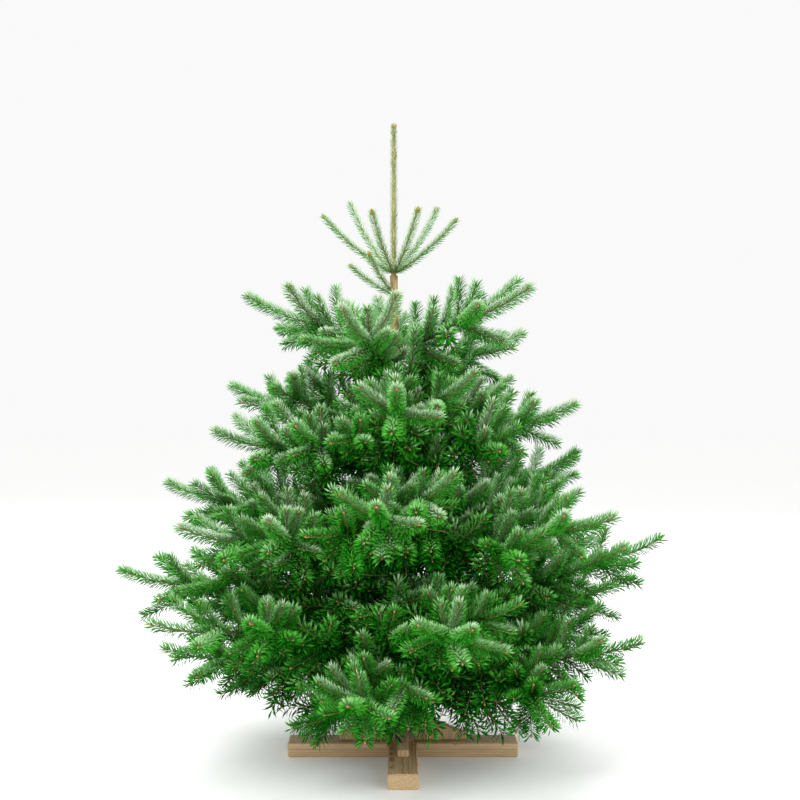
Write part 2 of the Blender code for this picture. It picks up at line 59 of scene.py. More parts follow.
CLEAR = 0.0003
CUT_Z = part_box("stand_timber_lower")[1].z + CLEAR  # the cut stands on the timbers
WHORL_HEIGHTS = (1.135, 1.085, 0.955, 0.755, 0.525, 0.3, 0.155)
NEWEST_WHORL = WHORL_HEIGHTS[0]
TREE_HEIGHT = 1.500
TRUNK_FOOT_RADIUS = 0.0300
TRUNK_TOP_RADIUS = 0.0080
TRUNK_TAPER = 0.9
FLARE = 0.0045
FLARE_HEIGHT = 0.035
WHORL_SWELLING = 0.0022
WHORL_SPAN = 0.020
TRUNK_LEAN = 0.022
TRUNK_BOW = 0.004
LEVEL_FOOT = 0.012  # height up to which it stands upright
LEADER_RADIUS = (0.0052, 0.0036)
LEADER_TOP = 1.489  # where the buds start

TRUNK_SIDES = 30
TRUNK_ROW = 0.0055  # height of one row of the bark's mesh
CRACK_DEPTH = 0.0009
CRACK_FINENESS = (130, 45)  # across the trunk and along it
FINE_CRACKS = (0.4, 2.3)  # the depth and the fineness of the smaller cracks, to those of the larger
CRACK_FADING = 0.7  # how fast the cracks fade as the trunk thins
BLISTERS = 90
BLISTER_ENDS = (0.01, 0.03)  # how near they come to the cut and to the newest whorl
BLISTER_SIZE = (0.0040, 0.0026)  # half its width and half its height
BLISTER_DRAW = (0.6, 1.1)  # the smallest and the largest, to that size
BLISTER_RISE = 0.0011
BARK_EDGE = 0.006  # the inner bark shows on this much of the foot, where the saw tore it
TAN_BARK = (0.88, 1.02)  # heights between which the old bark gives way to this
OLIVE_BARK = (1.11, 1.16)  # and this to the leader's

# Tones: where in a pattern's range of values each colour stands.
OLD_TONES = ((0.30, (0.075, 0.050, 0.032)), (0.52, (0.185, 0.135, 0.088)), (0.72, (0.33, 0.28, 0.21)))
TAN_TONES = ((0.36, (0.17, 0.105, 0.05)), (0.48, (0.45, 0.31, 0.145)), (0.66, (0.60, 0.45, 0.25)))
OLIVE_TONES = ((0.38, (0.26, 0.25, 0.080)), (0.50, (0.42, 0.38, 0.15)), (0.66, (0.58, 0.52, 0.24)))
CRACK_TONES = ((0.05, (0.45, 0.36, 0.28)), (0.35, (1, 1, 1)))
CRACK_SHARE = 0.8
INNER_TONES = ((0.3, (0.24, 0.10, 0.04)), (0.55, (0.46, 0.23, 0.09)), (0.8, (0.62, 0.42, 0.22)))
MIX_SOCKETS = (0, 6, 7)  # a colour mix's share and its two colours


def trunk_centre(height):
    """The trunk's axis: upright at its foot, leaning to the newest whorl, then upright as the leader."""
    share = min(max(height - LEVEL_FOOT, 0.0) / (NEWEST_WHORL - LEVEL_FOOT), 1.0)
    return Vector((-TRUNK_LEAN * share, TRUNK_BOW * math.sin(math.pi * share), CUT_Z + height))


def trunk_radius(height):
    share = max(height, 0.0) / NEWEST_WHORL
    if share > 1.0:
        along = (height - NEWEST_WHORL) / (TREE_HEIGHT - NEWEST_WHORL)
        return LEADER_RADIUS[0] + (LEADER_RADIUS[1] - LEADER_RADIUS[0]) * along
    radius = TRUNK_FOOT_RADIUS + (TRUNK_TOP_RADIUS - TRUNK_FOOT_RADIUS) * share**TRUNK_TAPER
    radius += FLARE * math.exp(-max(height, 0.0) / FLARE_HEIGHT)
    for whorl in WHORL_HEIGHTS:
        radius += WHORL_SWELLING * math.exp(-(((height - whorl) / WHORL_SPAN) ** 2))
    return radius


def tube_faces(rows, sides):
    """The triangles of a closed tube whose points lie ring by ring."""
    ring = np.arange(sides)
    after = (ring + 1) % sides
    low = np.arange(rows - 1)[:, None] * sides
    high = low + sides
    lower = np.stack([low + ring, low + after, high + after], -1)
    upper = np.stack([low + ring, high + after, high + ring], -1)
    walls = np.stack([lower, upper], 2).reshape(-1, 3)
    fan = np.stack([np.zeros(sides - 2, int), ring[1:-1], ring[2:]], 1)
    return np.concatenate([walls, fan[:, ::-1], fan + (rows - 1) * sides])


class Pile:
    """Gathers the triangles of many like pieces into one mesh, each with its material's number."""

    def __init__(self):
        self.points = []
        self.faces = []
        self.slots = []
        self.count = 0

    def add(self, points, faces, slots):
        self.points.append(points)
        self.faces.append(faces + self.count)
        self.slots.append(np.broadcast_to(slots, len(faces)))
        self.count += len(points)

    def made(self, name, materials, smooth=True):
        points = np.concatenate(self.points)
        faces = np.concatenate(self.faces)
        mesh = bpy.data.meshes.new(name)
        mesh.vertices.add(len(points))
        mesh.vertices.foreach_set("co", points.astype(np.float32).ravel())
        mesh.loops.add(faces.size)
        mesh.loops.foreach_set("vertex_index", faces.astype(np.int32).ravel())
        mesh.polygons.add(len(faces))
        mesh.polygons.foreach_set("loop_start", np.arange(0, faces.size, 3, dtype=np.int32))
        mesh.polygons.foreach_set("material_index", np.concatenate(self.slots).astype(np.int32))
        mesh.update(calc_edges=True)
        if smooth:
            mesh.shade_smooth()
        for material in materials:
            mesh.materials.append(material)
        piece = bpy.data.objects.new(name, mesh)
        bpy.context.scene.collection.objects.link(piece)
        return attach(piece, "root")


class Finish:
    """A material in the making: one plain colour, to which patterns and a relief are added."""

    def __init__(self, name, colour, roughness):
        self.material = bpy.data.materials.new(name)
        self.material.use_nodes = True
        self.node = self.material.node_tree.nodes.new
        self.link = self.material.node_tree.links.new
        self.shader = self.material.node_tree.nodes["Principled BSDF"]
        self.shader.inputs["Base Color"].default_value = (*colour, 1)
        self.shader.inputs["Roughness"].default_value = roughness

    def texture(self, kind, scale, at=(0, 0, 0), **settings):
        """A texture in the tree's own coordinates, moved by at. scale is its fineness, in X, Y and Z."""
        place = self.node("ShaderNodeTexCoord")
        stretch = self.node("ShaderNodeMapping")
        stretch.inputs["Location"].default_value = at
        stretch.inputs["Scale"].default_value = np.broadcast_to(scale, 3)
        self.link(place.outputs["Object"], stretch.inputs["Vector"])
        texture = self.node(kind)
        self.link(stretch.outputs["Vector"], texture.inputs["Vector"])
        for name, value in settings.items():
            texture.inputs[name.replace("_", " ")].default_value = value
        return texture

    def noise(self, scale, detail, roughness=0.5):
        """Cloudy patches, as values from 0 to 1."""
        patches = self.texture("ShaderNodeTexNoise", scale, Scale=1.0, Detail=detail, Roughness=roughness)
        return patches.outputs["Fac"]

    def cells(self, scale):
        """Rounded cells, as the distance from each one's middle."""
        return self.texture("ShaderNodeTexVoronoi", scale, Scale=1.0).outputs["Distance"]

    def rising(self, low, high):
        """A share that is 0 on the tree below the height low, and 1 above high."""
        place = self.node("ShaderNodeTexCoord")
        height = self.node("ShaderNodeSeparateXYZ")
        self.link(place.outputs["Object"], height.inputs[0])
        share = self.node("ShaderNodeMapRange")
        share.inputs["From Min"].default_value = CUT_Z + low
        share.inputs["From Max"].default_value = CUT_Z + high
        self.link(height.outputs["Z"], share.inputs["Value"])
        return share.outputs["Result"]

    def toned(self, pattern, tones):
        """A pattern's values turned into tones."""
        made = self.node("ShaderNodeValToRGB")
        while len(made.color_ramp.elements) < len(tones):
            made.color_ramp.elements.new(0.5)
        for element, (place, colour) in zip(made.color_ramp.elements, tones):
            element.position = place
            element.color = (*colour, 1)
        self.link(pattern, made.inputs["Fac"])
        return made.outputs["Color"]

    def mixed(self, share, first, second, way="MIX"):
        made = self.node("ShaderNodeMix")
        made.data_type = "RGBA"
        made.blend_type = way
        for number, value in zip(MIX_SOCKETS, (share, first, second)):
            if isinstance(value, bpy.types.NodeSocket):
                self.link(value, made.inputs[number])
            else:
                made.inputs[number].default_value = value
        return made.outputs[2]

    def painted(self, colour):
        self.link(colour, self.shader.inputs["Base Color"])

    def roughened(self, height, strength, depth):
        bump = self.node("ShaderNodeBump")
        bump.inputs["Strength"].default_value = strength
        bump.inputs["Distance"].default_value = depth
        self.link(height, bump.inputs["Height"])
        self.link(bump.outputs["Normal"], self.shader.inputs["Normal"])


def trunk_bark():
    """Grey-brown bark, redder in its cracks, then smooth tan bark, and at last the olive of the leader."""
    bark = Finish("trunk_bark", colour=(0.2, 0.15, 0.1), roughness=0.8)
    patches = bark.noise(scale=(60, 60, 25), detail=6.0, roughness=0.65)
    cracks = bark.cells(scale=(180, 180, 60))
    flecks = bark.toned(cracks, CRACK_TONES)
    old = bark.mixed(CRACK_SHARE, bark.toned(patches, OLD_TONES), flecks, "MULTIPLY")
    colour = bark.mixed(bark.rising(*TAN_BARK), old, bark.toned(patches, TAN_TONES))
    colour = bark.mixed(bark.rising(*OLIVE_BARK), colour, bark.toned(patches, OLIVE_TONES))
    bark.painted(colour)
    bark.roughened(patches, strength=0.5, depth=0.002)
    return bark.material


def inner_bark():
    """The moist orange inner bark and pale sapwood that the saw laid bare."""
    bark = Finish("inner_bark", colour=(0.42, 0.20, 0.08), roughness=0.7)
    fibres = bark.noise(scale=(250, 250, 40), detail=4.0)
    bark.painted(bark.toned(fibres, INNER_TONES))
    bark.roughened(fibres, strength=0.6, depth=0.001)
    return bark.material


def crack_relief(heights, turns, radii):
    """How far the bark lies back at each point of the trunk's rows."""
    across, along = CRACK_FINENESS
    depth, finer = FINE_CRACKS
    relief = np.zeros((len(heights), len(turns)))
    for row, radius in enumerate(radii):
        for side, turn in enumerate(turns):
            east = math.cos(turn) * radius * across
            north = math.sin(turn) * radius * across
            spot = Vector((east, north, heights[row] * along))
            relief[row, side] = -CRACK_DEPTH * abs(noise.noise(spot))
            relief[row, side] -= depth * CRACK_DEPTH * abs(noise.noise(spot * finer))
    return relief * np.minimum(radii / TRUNK_FOOT_RADIUS, 1.0)[:, None] ** CRACK_FADING


def blister_relief(heights, turns):
    """How far the resin blisters stand out there."""
    draw = random.Random("bark")
    relief = np.zeros((len(heights), len(turns)))
    for _ in range(BLISTERS):
        height = draw.uniform(BLISTER_ENDS[0], NEWEST_WHORL - BLISTER_ENDS[1])
        turn = draw.uniform(0, 2 * math.pi)
        size = draw.uniform(*BLISTER_DRAW)
        wide = BLISTER_SIZE[0] * size
        tall = BLISTER_SIZE[1] * size
        across = np.abs((turns - turn + math.pi) % (2 * math.pi) - math.pi) * trunk_radius(height)
        along = heights[:, None] - height
        lump = np.exp(-((along / tall) ** 2) - (across / wide) ** 2)
        relief += BLISTER_RISE * size * lump
    return relief


def grow_trunk():
    rows = round(LEADER_TOP / TRUNK_ROW)
    heights = np.linspace(0, LEADER_TOP, rows)
    turns = np.linspace(0, 2 * math.pi, TRUNK_SIDES, endpoint=False)
    centres = np.array([trunk_centre(height) for height in heights])
    radii = np.array([trunk_radius(height) for height in heights])
    reach = radii[:, None] + crack_relief(heights, turns, radii) + blister_relief(heights, turns)
    outward = np.stack([np.cos(turns), np.sin(turns), np.zeros(TRUNK_SIDES)], -1)
    points = (centres[:, None] + reach[:, :, None] * outward).reshape(-1, 3)
    faces = tube_faces(rows, TRUNK_SIDES)
    torn = (points[faces][:, :, 2].max(1) - CUT_Z) < BARK_EDGE
    trunk = Pile()
    trunk.add(points, faces, torn.astype(int))
    trunk = trunk.made("trunk_with_bark", [trunk_bark(), inner_bark()])
    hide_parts("trunk")


grow_trunk()

# ------------------------------------------------------------------------------------------------ boughs
# Living limbs that leave the trunk in whorls, one whorl for each year. The three lower whorls are bare
# of needles near the trunk, and each of their limbs has a collar of bark where it joins.

# rise: angle above level at the trunk and at the tip. bare: length of the limb before its foliage.
# years: growths that its foliage is made of. side_lift: how far its side limbs turn up to the sky.
# boughs: bearing anticlockwise from +X, reach from the trunk, extra rise, and drop below the whorl.
Tier = namedtuple("Tier", "name height rise bare years side_lift limb_radius boughs")
TIERS = [
    Tier("tier1", WHORL_HEIGHTS[0], (44, 46), 0, 1, 0, 0.0025,
         ((186, 0.165, -5, 0), (141, 0.135, 8, 0), (247, 0.125, 3, 0),
          (295, 0.130, 3, 0), (41, 0.135, 6, 0), (338, 0.155, -6, 0))),
    Tier("tier1_lower", WHORL_HEIGHTS[1], (38, 42), 0, 1, 0, 0.0027,
         ((176, 0.100, -4, 0), (222, 0.075, 12, 0))),
    Tier("tier2", WHORL_HEIGHTS[2], (18, 28), 0, 2, 8, 0.0050,
         ((180, 0.350, -1, 0), (250, 0.330, 2, 0.055), (327, 0.355, 1, 0),
          (24, 0.340, -6, 0.050), (102, 0.330, 0, 0.020))),
    Tier("tier3", WHORL_HEIGHTS[3], (12, 22), 0, 3, 4, 0.0060,
         ((165, 0.420, -1, 0), (202, 0.450, -4, 0.090), (270, 0.420, 2, 0.020),
          (344, 0.430, -2, 0.040), (50, 0.430, 0, 0), (110, 0.420, -4, 0.080))),
    Tier("tier4", WHORL_HEIGHTS[4], (10, 18), 0.080, 3, 2, 0.0065,
         ((174, 0.555, -3, 0.020), (212, 0.550, -3, 0.080), (265, 0.500, 0, 0.020),
          (326, 0.545, -2, 0.055), (34, 0.545, 1, 0), (106, 0.520, -3, 0.070))),
    Tier("tier5", WHORL_HEIGHTS[5], (8, 14), 0.120, 3, 0, 0.0072,
         ((182, 0.650, 0, 0), (212, 0.620, 0, 0.060), (284, 0.570, 0, 0.030),
          (350, 0.600, 9, 0.010), (20, 0.615, -1, 0.060), (108, 0.600, 0, 0.030))),
    Tier("tier6", WHORL_HEIGHTS[6], (2, 8), 0.100, 3, 0, 0.0070,
         ((196, 0.545, 6, 0), (258, 0.510, 4, 0.020), (337, 0.560, 8, 0),
          (44, 0.530, 1, 0.020), (135, 0.540, 2, 0))),
]
BOUGH_STEPS = 4
BOUGH_COLLAR = (1.30, 1.12)
BOUGH_TAPER = 0.05
BOUGH_SIDES = 14
BOUGH_ROWS = 26
COLLAR_FLARE = 0.45  # how much thicker a limb is where it leaves the bark
COLLAR_LENGTH = 0.012
WRINKLE_FINENESS = 160
WRINKLE_DEPTH = 0.0006
TINY = 1e-9  # keeps a path that runs straight up from a division by nothing
LIMB_TONES = ((0.32, (0.085, 0.052, 0.030)), (0.55, (0.19, 0.125, 0.070)), (0.75, (0.31, 0.23, 0.15)))


def heading_of(bearing, rise):
    flat = math.cos(math.radians(rise))
    turn = math.radians(bearing)
    return Vector((flat * math.cos(turn), flat * math.sin(turn), math.sin(math.radians(rise))))


def lifted(heading, degrees):
    """heading tilted towards the sky."""
    side = heading.cross(Vector((0, 0, 1))).normalized()
    return (Matrix.Rotation(math.radians(degrees), 3, side) @ heading).normalized()


def up_of(heading):
    return (Vector((0, 0, 1)) - heading * heading.z).normalized()


def limb_of(tier, bough):
    """A bough's start on the trunk's axis, its heading there, and how much it lifts along its length."""
    bearing, reach, extra, drop = bough
    start = trunk_centre(tier.height - drop)
    return start, heading_of(bearing, tier.rise[0] + extra), reach, tier.rise[1] - tier.rise[0]


def bough_path(tier, bough):
    """The points and radii of a bough's bare inner limb, and its last heading."""
    start, heading, reach, curl = limb_of(tier, bough)
    stride = (tier.bare + trunk_radius(tier.height)) / BOUGH_STEPS
    points = [start]
    for _ in range(BOUGH_STEPS):
        points.append(points[-1] + heading * stride)
        heading = lifted(heading, curl * stride / reach)
    thickness = [*BOUGH_COLLAR, *(1 - BOUGH_TAPER * step for step in range(1, BOUGH_STEPS))]
    direction = (points[-1] - points[-2]).normalized()
    return points, [tier.limb_radius * share for share in thickness], direction


def ringed(points, radii, sides):
    """Rings of points round a path, and the way out from it at each point."""
    points = np.asarray(points, float)
    headings = np.gradient(points, axis=0)
    headings /= np.linalg.norm(headings, axis=1, keepdims=True)
    side = np.cross(headings, (0, 0, 1.0))
    side /= np.maximum(np.linalg.norm(side, axis=1, keepdims=True), TINY)
    up = np.cross(side, headings)
    turns = np.linspace(0, 2 * math.pi, sides, endpoint=False)
    outward = np.cos(turns)[None, :, None] * side[:, None] + np.sin(turns)[None, :, None] * up[:, None]
    return points[:, None] + np.asarray(radii, float)[:, None, None] * outward, outward


def limb_bark():
    """Older bark on the limbs: dull brown, with paler lenticels across it."""
    bark = Finish("limb_bark", colour=(0.2, 0.13, 0.08), roughness=0.75)
    patches = bark.noise(scale=140, detail=5.0)
    bark.painted(bark.toned(patches, LIMB_TONES))
    bark.roughened(patches, strength=0.6, depth=0.0012)
    return bark.material


def grow_bough(tier, number, bark):
    points, radii, _ = bough_path(tier, tier.boughs[number])
    knots = np.linspace(0, 1, len(points))
    shares = np.linspace(0, 1, BOUGH_ROWS)
    path = np.stack([np.interp(shares, knots, np.array(points)[:, axis]) for axis in range(3)], 1)
    run = shares * (Vector(path[-1]) - Vector(path[0])).length
    beyond = np.maximum(run - trunk_radius(tier.height), 0)
    thick = np.interp(shares, knots, radii) * (1 + COLLAR_FLARE * np.exp(-beyond / COLLAR_LENGTH))
    rings, outward = ringed(path, thick, BOUGH_SIDES)
    wrinkles = np.array([[noise.noise(Vector(spot) * WRINKLE_FINENESS) for spot in ring] for ring in rings])
    rings = rings + outward * (wrinkles * WRINKLE_DEPTH)[:, :, None]
    bough = Pile()
    bough.add(rings.reshape(-1, 3), tube_faces(BOUGH_ROWS, BOUGH_SIDES), 0)
    bough = bough.made(f"limb_{tier.name}_{number + 1}", [bark])
    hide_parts(f"bough_{tier.name}_{number + 1}")


bark_of_limbs = limb_bark()
for tier in TIERS:
    if tier.bare:
        for number in range(len(tier.boughs)):
            grow_bough(tier, number, bark_of_limbs)

# ------------------------------------------------------------------------------------------------ shoots
# Each year a limb grows one length further and puts out a pair of side limbs and one above them. Short
# shoots also leave the older lengths between those pairs. The wood is olive-brown in its first year,
# under 4 mm thick, and browner where it is older.

# The rule that the solids' shoots follow too. Spreads, lifts, turns and curls are in degrees.
SPRAY_HALF_WIDTH = 0.044  # of a spray of needles, which its mass's space has to hold
SPRAY_SLENDERNESS = 0.32  # and to its shoot's length
SPRAY_NARROWING = (1.0, 0.8, 0.62)  # how narrow it may be to fit
SPRAY_EDGE_POINTS = (0.35, 0.65, 0.9)  # where along it its edges are tried
SPRAY_CRESTS = (0.034, -0.020)  # how far it reaches above its shoot and below
SPRAY_CREST_AT = 0.40
SPRAY_OVERHANG = 0.018  # how far it reaches past its shoot's tip
STEM_TAPER = 0.9
TWIG_TAPER = 0.62
SIDE_TAPER = 0.8
SIDE_SHARE = 0.80  # a side limb's length, to its limb's
SIDE_SPREAD = 47.0
LIFT_SPREAD = (16.0, 32.0, 0.0)  # by how much the two of a pair differ in lift, for each order
UPPER_LIFT = 46.0
UPPER_SHARE = 0.52
UPPER_TURN = 20.0
UNDER_LIFT = -38.0
UNDER_SHARE = 0.70
UPPER_CURL = -10.0
SPREAD_DRAW = 5.0
LIFT_DRAW = 8.0
UPPER_DRAW = 6.0
SHARE_DRAW = 0.1
CURL_DRAW = 2.0
OLDEST_SPREAD_DRAW = 8.0
OLDEST_LIFT_DRAW = 12.0
OLDEST_YEARS = 2
OLDEST_UPPER_LIFT = 54.0
OLDEST_UPPER_CURL = -24.0
OLDEST_FOOT = 0.26  # where along a mass's stem its oldest side limbs leave it
SPACE_MARGIN = 0.003  # how much nearer to its own bough than to another
FLOOR_ROOM = 0.030
FOLIAGE_ORDERS = 3
CUT_SHORT = (1.0, 0.75, 0.55)  # shares of its length that a growth may stop at, for want of room

# Finer growth: short shoots leave the older wood on all sides, wherever they find room between the others.
SHORT = -1  # the year that stands for any short shoot
SHORT_STEP = 0.006  # of length for each bud that may grow out
SHORT_WAYS = "udrudl"  # up, down, right and left
SHORT_SPREAD = {"r": (38, 66), "l": (38, 66), "u": (-35, 35), "d": (-35, 35)}
SHORT_LIFT = {"r": (-30, 30), "l": (-30, 30), "u": (38, 72), "d": (-66, -32)}
SHORT_LENGTHS = {"r": (0.090, 0.250), "l": (0.090, 0.250), "u": (0.100, 0.240), "d": (0.100, 0.240)}
FULL_REACH = 0.50  # the short shoots of a shorter bough are shorter by as much
OUTER_SHORTER = {"r": 0.60, "l": 0.60, "u": 0.75, "d": 0.85}  # at its tip, by this share
SHORT_FLOOR_ROOM = 0.090
SHORT_PLACES = (0.60, 0.80, 1.0)  # where along it a short shoot needs room
SHOOT_SPACING = 0.028  # from one shoot to the next
INNER_BARE = 0.15  # share of a bough's bare inner limb that has no short shoots
GOLDEN_ANGLE = 137.5
TRUNK_BUDS = 170
TRUNK_SHOOT_HEIGHTS = (0.14, 0.86)
TRUNK_SHOOT_RISE = (-20, 50)
TRUNK_SHOOT_LENGTH = (0.15, 0.25)  # as a share of the height of the tree above it
TRUNK_SHOOT_RADIUS = 0.0024
TRUNK_SHOOT_BARE = 0.50
SHORT_RADIUS = 0.0013
SHORT_TAPER = 0.6
TIP_RADIUS = 0.0011
SHOOT_SAG = 0.045  # how far a shoot's middle hangs below its ends, as a share of its length
LIMB_SIDES = 8
TWIG_SIDES = 5
TWIG_POINTS = 4
# Each wood's name, colour and roughness.
WOODS = (
    ("newest_whorl_wood", (0.36, 0.29, 0.10), 0.6),
    ("first_year_wood", (0.19, 0.18, 0.045), 0.6),
    ("second_year_wood", (0.16, 0.10, 0.040), 0.65),
    ("older_wood", (0.11, 0.075, 0.045), 0.75),
)

Shoot = namedtuple("Shoot", "key start end up order year last radius sag", defaults=(SHOOT_SAG,))


class Limb:
    """A bough's course: how high it stands at each distance out, and how far a point is from it."""

    def __init__(self, tier, bough):
        self.bearing, self.reach, extra, drop = bough
        self.foot = trunk_centre(tier.height - drop)
        self.low, self.high = (math.tan(math.radians(rise + extra)) for rise in tier.rise)

    def height_over(self, distance):
        return self.low * distance + (self.high - self.low) * distance**2 / (2 * self.reach)

    def away(self, point):
        """How far a point is from the bough, measured round the trunk, up and down, and past the tip."""
        across = point - self.foot
        distance = math.hypot(across.x, across.y)
        turn = math.atan2(across.y, across.x) - math.radians(self.bearing)
        sideways = 2 * distance * math.sin(turn / 2)
        return math.hypot(sideways, across.z - self.height_over(distance), max(distance - self.reach, 0))


LIMBS = {
    (tier_number, bough_number): Limb(tier, bough)
    for tier_number, tier in enumerate(TIERS)
    for bough_number, bough in enumerate(tier.boughs)
}


class Space:
    """The space that a mass of foliage keeps to: all that is nearer to its own bough than to any other."""

    def __init__(self, tier_number, bough_number):
        self.own = LIMBS[tier_number, bough_number]
        self.others = [limb for limb in LIMBS.values() if limb is not self.own]

    def holds(self, point):
        away = self.own.away(point) + SPACE_MARGIN
        return point.z > FLOOR_ROOM and all(away < other.away(point) for other in self.others)


def side_heading(heading, side, spread, lift):
    """The heading of a side limb, which leaves its limb in the limb's own plane."""
    turned = Matrix.Rotation(math.radians(side * spread), 3, up_of(heading)) @ heading
    return lifted(turned, lift)


def either_way(draw, most):
    return draw.uniform(-most, most)


def has_room(space, start, end, up):
    """Whether a mass's space holds a shoot and a spray of needles on it, narrowed if need be."""
    along = end - start
    tip = end + along.normalized() * SPRAY_OVERHANG
    if not space.holds(tip) or not space.holds(end):
        return False
    half_width = min(SPRAY_HALF_WIDTH, SPRAY_SLENDERNESS * along.length)
    across = up.cross(along).normalized() * half_width
    for narrowing in SPRAY_NARROWING:
        reach = across * narrowing
        crest = up * narrowing * half_width / SPRAY_HALF_WIDTH
        rim = [start + along * share + side * reach for share in SPRAY_EDGE_POINTS for side in (-1, 1)]
        rim += [start + along * SPRAY_CREST_AT + crest * height for height in SPRAY_CRESTS]
        if all(space.holds(point) for point in rim):
            return True
    return False


def room_for(space, start, growth, up):
    """The share of a growth that its mass's space has room for."""
    for cut in CUT_SHORT:
        if has_room(space, start, start + growth * cut, up):
            return cut
    return 0


def grown(key, space, start, heading, lengths, order, curl, side_lift, radius):
    """The shoots of a limb: each year's growth, and at its end a pair of side limbs, one above, one below.

    key names the limb, and with the year it seeds every draw. A limb stops where its mass's space does.
    """
    for year, length in enumerate(lengths):
        draw = random.Random(f"{key}.{year}")
        up = up_of(heading)
        thinner = radius * TWIG_TAPER
        first = order == 0 and year == 0
        cut = 1 if first else room_for(space, start, heading * length, up)
        if not cut:
            return
        end = start + heading * length * cut
        later = lengths[year + 1 :] if cut == 1 else []
        yield Shoot(f"{key}.{year}", start, end, up, order, year, not later, (radius, thinner))
        if not later:
            return
        for limb in "rlud":
            side = -1 if limb == "r" else 1
            spread = SIDE_SPREAD + either_way(draw, SPREAD_DRAW)
            lift = side_lift + side * LIFT_SPREAD[order] * (-1) ** year + either_way(draw, LIFT_DRAW)
            share = SIDE_SHARE
            growths = later
            turn = curl
            finer = 1
            if limb in "ud":
                spread = either_way(draw, UPPER_TURN)
                finer = 2
            if limb == "u":
                lift = UPPER_LIFT + either_way(draw, UPPER_DRAW)
                share = UPPER_SHARE
                turn = UPPER_CURL
            if limb == "d":
                lift = UNDER_LIFT + either_way(draw, UPPER_DRAW)
                share = UNDER_SHARE
                growths = later[:1]
            share *= 1 + either_way(draw, SHARE_DRAW)
            if order + finer <= FOLIAGE_ORDERS:
                yield from grown(
                    f"{key}.{year}{limb}",
                    space,
                    end,
                    side_heading(heading, side, spread, lift),
                    [share * growth for growth in growths],
                    order + finer,
                    turn,
                    side_lift / 2,
                    thinner * SIDE_TAPER,
                )
        heading = lifted(heading, curl + either_way(draw, CURL_DRAW))
        start = end
        radius = thinner


def oldest_limbs(key, space, stem, lengths, tier):
    """The oldest side limbs, which leave a mass's stem near its foot: a pair, one above and one below."""
    heading = (stem.end - stem.start).normalized()
    foot = stem.start.lerp(stem.end, OLDEST_FOOT)
    for limb in "rlud":
        draw = random.Random(f"{key}.old{limb}")
        side = -1 if limb == "r" else 1
        spread = SIDE_SPREAD + draw.uniform(0, OLDEST_SPREAD_DRAW)
        lift = tier.side_lift
        years = OLDEST_YEARS
        curl = 0
        order = 1
        if limb == "u":
            lift = OLDEST_UPPER_LIFT + draw.uniform(0, OLDEST_LIFT_DRAW)
            curl = OLDEST_UPPER_CURL
        if limb == "d":
            lift = UNDER_LIFT
            years = 1
        if limb in "ud":
            spread = either_way(draw, UPPER_TURN)
            order = 2
        yield from grown(
            f"{key}.old{limb}",
            space,
            foot,
            side_heading(heading, side, spread, lift),
            [SIDE_SHARE * lengths[0]] * years,
            order,
            curl,
            tier.side_lift / 2,
            stem.radius[1] * SIDE_TAPER,
        )


def main_shoots(tier_number, bough_number):
    """The shoots of one mass that its solid also has, and the mass's space."""
    tier = TIERS[tier_number]
    bough = tier.boughs[bough_number]
    start, heading, reach, curl = limb_of(tier, bough)
    radius = tier.limb_radius
    if tier.bare:
        points, radii, heading = bough_path(tier, bough)
        start = points[-1] + heading * CLEAR
        radius = radii[-1]
    run = (reach - tier.bare) / math.cos(math.radians(sum(tier.rise) / 2 + bough[2]))
    lengths = [run / tier.years] * tier.years
    space = Space(tier_number, bough_number)
    key = f"{tier.name}.{bough_number}"
    turn = curl / tier.years
    stem_radius = radius * STEM_TAPER
    shoots = list(grown(key, space, start, heading, lengths, 0, turn, tier.side_lift, stem_radius))
    if tier.years > 1:
        shoots += oldest_limbs(key, space, shoots[0], lengths, tier)
    return shoots, space


class Shoots:
    """The shoots of the whole crown so far, kept by place, so that new ones grow only into the open."""

    def __init__(self):
        self.cells = {}

    def cell(self, point):
        return tuple(math.floor(part / SHOOT_SPACING) for part in point)

    def add(self, shoot):
        steps = math.ceil((shoot.end - shoot.start).length / (SHOOT_SPACING / 2))
        for step in range(steps + 1):
            point = shoot.start.lerp(shoot.end, step / steps)
            self.cells.setdefault(self.cell(point), []).append(point)

    def leave_open(self, point):
        near = itertools.product(*((part - 1, part, part + 1) for part in self.cell(point)))
        others = (other for cell in near for other in self.cells.get(cell, ()))
        return all((other - point).length > SHOOT_SPACING for other in others)


def short_shoot(key, foot, tip, toward, radius):
    radii = (radius, TIP_RADIUS)
    return Shoot(key, foot, tip, up_of(toward), FOLIAGE_ORDERS, SHORT, True, radii)


def short_shoots(shoot, space, standing, bare):
    """The short shoots of one older length of wood, of which bare is the share without any."""
    draw = random.Random(f"{shoot.key}.short")
    along = shoot.end - shoot.start
    buds = round(along.length * (1 - bare) / SHORT_STEP)
    radius = max(SHORT_RADIUS, shoot.radius[1] * SHORT_TAPER)
    for number in range(buds):
        way = SHORT_WAYS[number % len(SHORT_WAYS)]
        side = -1 if way == "r" else 1
        spread = draw.uniform(*SHORT_SPREAD[way])
        lift = draw.uniform(*SHORT_LIFT[way])
        toward = side_heading(along.normalized(), side, spread, lift)
        foot = shoot.start.lerp(shoot.end, bare + (1 - bare) * (number + draw.random()) / buds)
        out = min(math.hypot(foot.x, foot.y) / space.own.reach, 1)
        growth = toward * draw.uniform(*SHORT_LENGTHS[way]) * (1 - OUTER_SHORTER[way] * out)
        growth *= min(space.own.reach / FULL_REACH, 1)
        for cut in CUT_SHORT:
            places = [foot + growth * cut * share for share in SHORT_PLACES]
            tip = places[-1]
            in_space = tip.z > SHORT_FLOOR_ROOM and all(space.holds(place) for place in places)
            if in_space and all(standing.leave_open(place) for place in places):
                short = short_shoot(f"{shoot.key}.s{number}", foot, tip, toward, radius)
                standing.add(short)
                yield short
                break


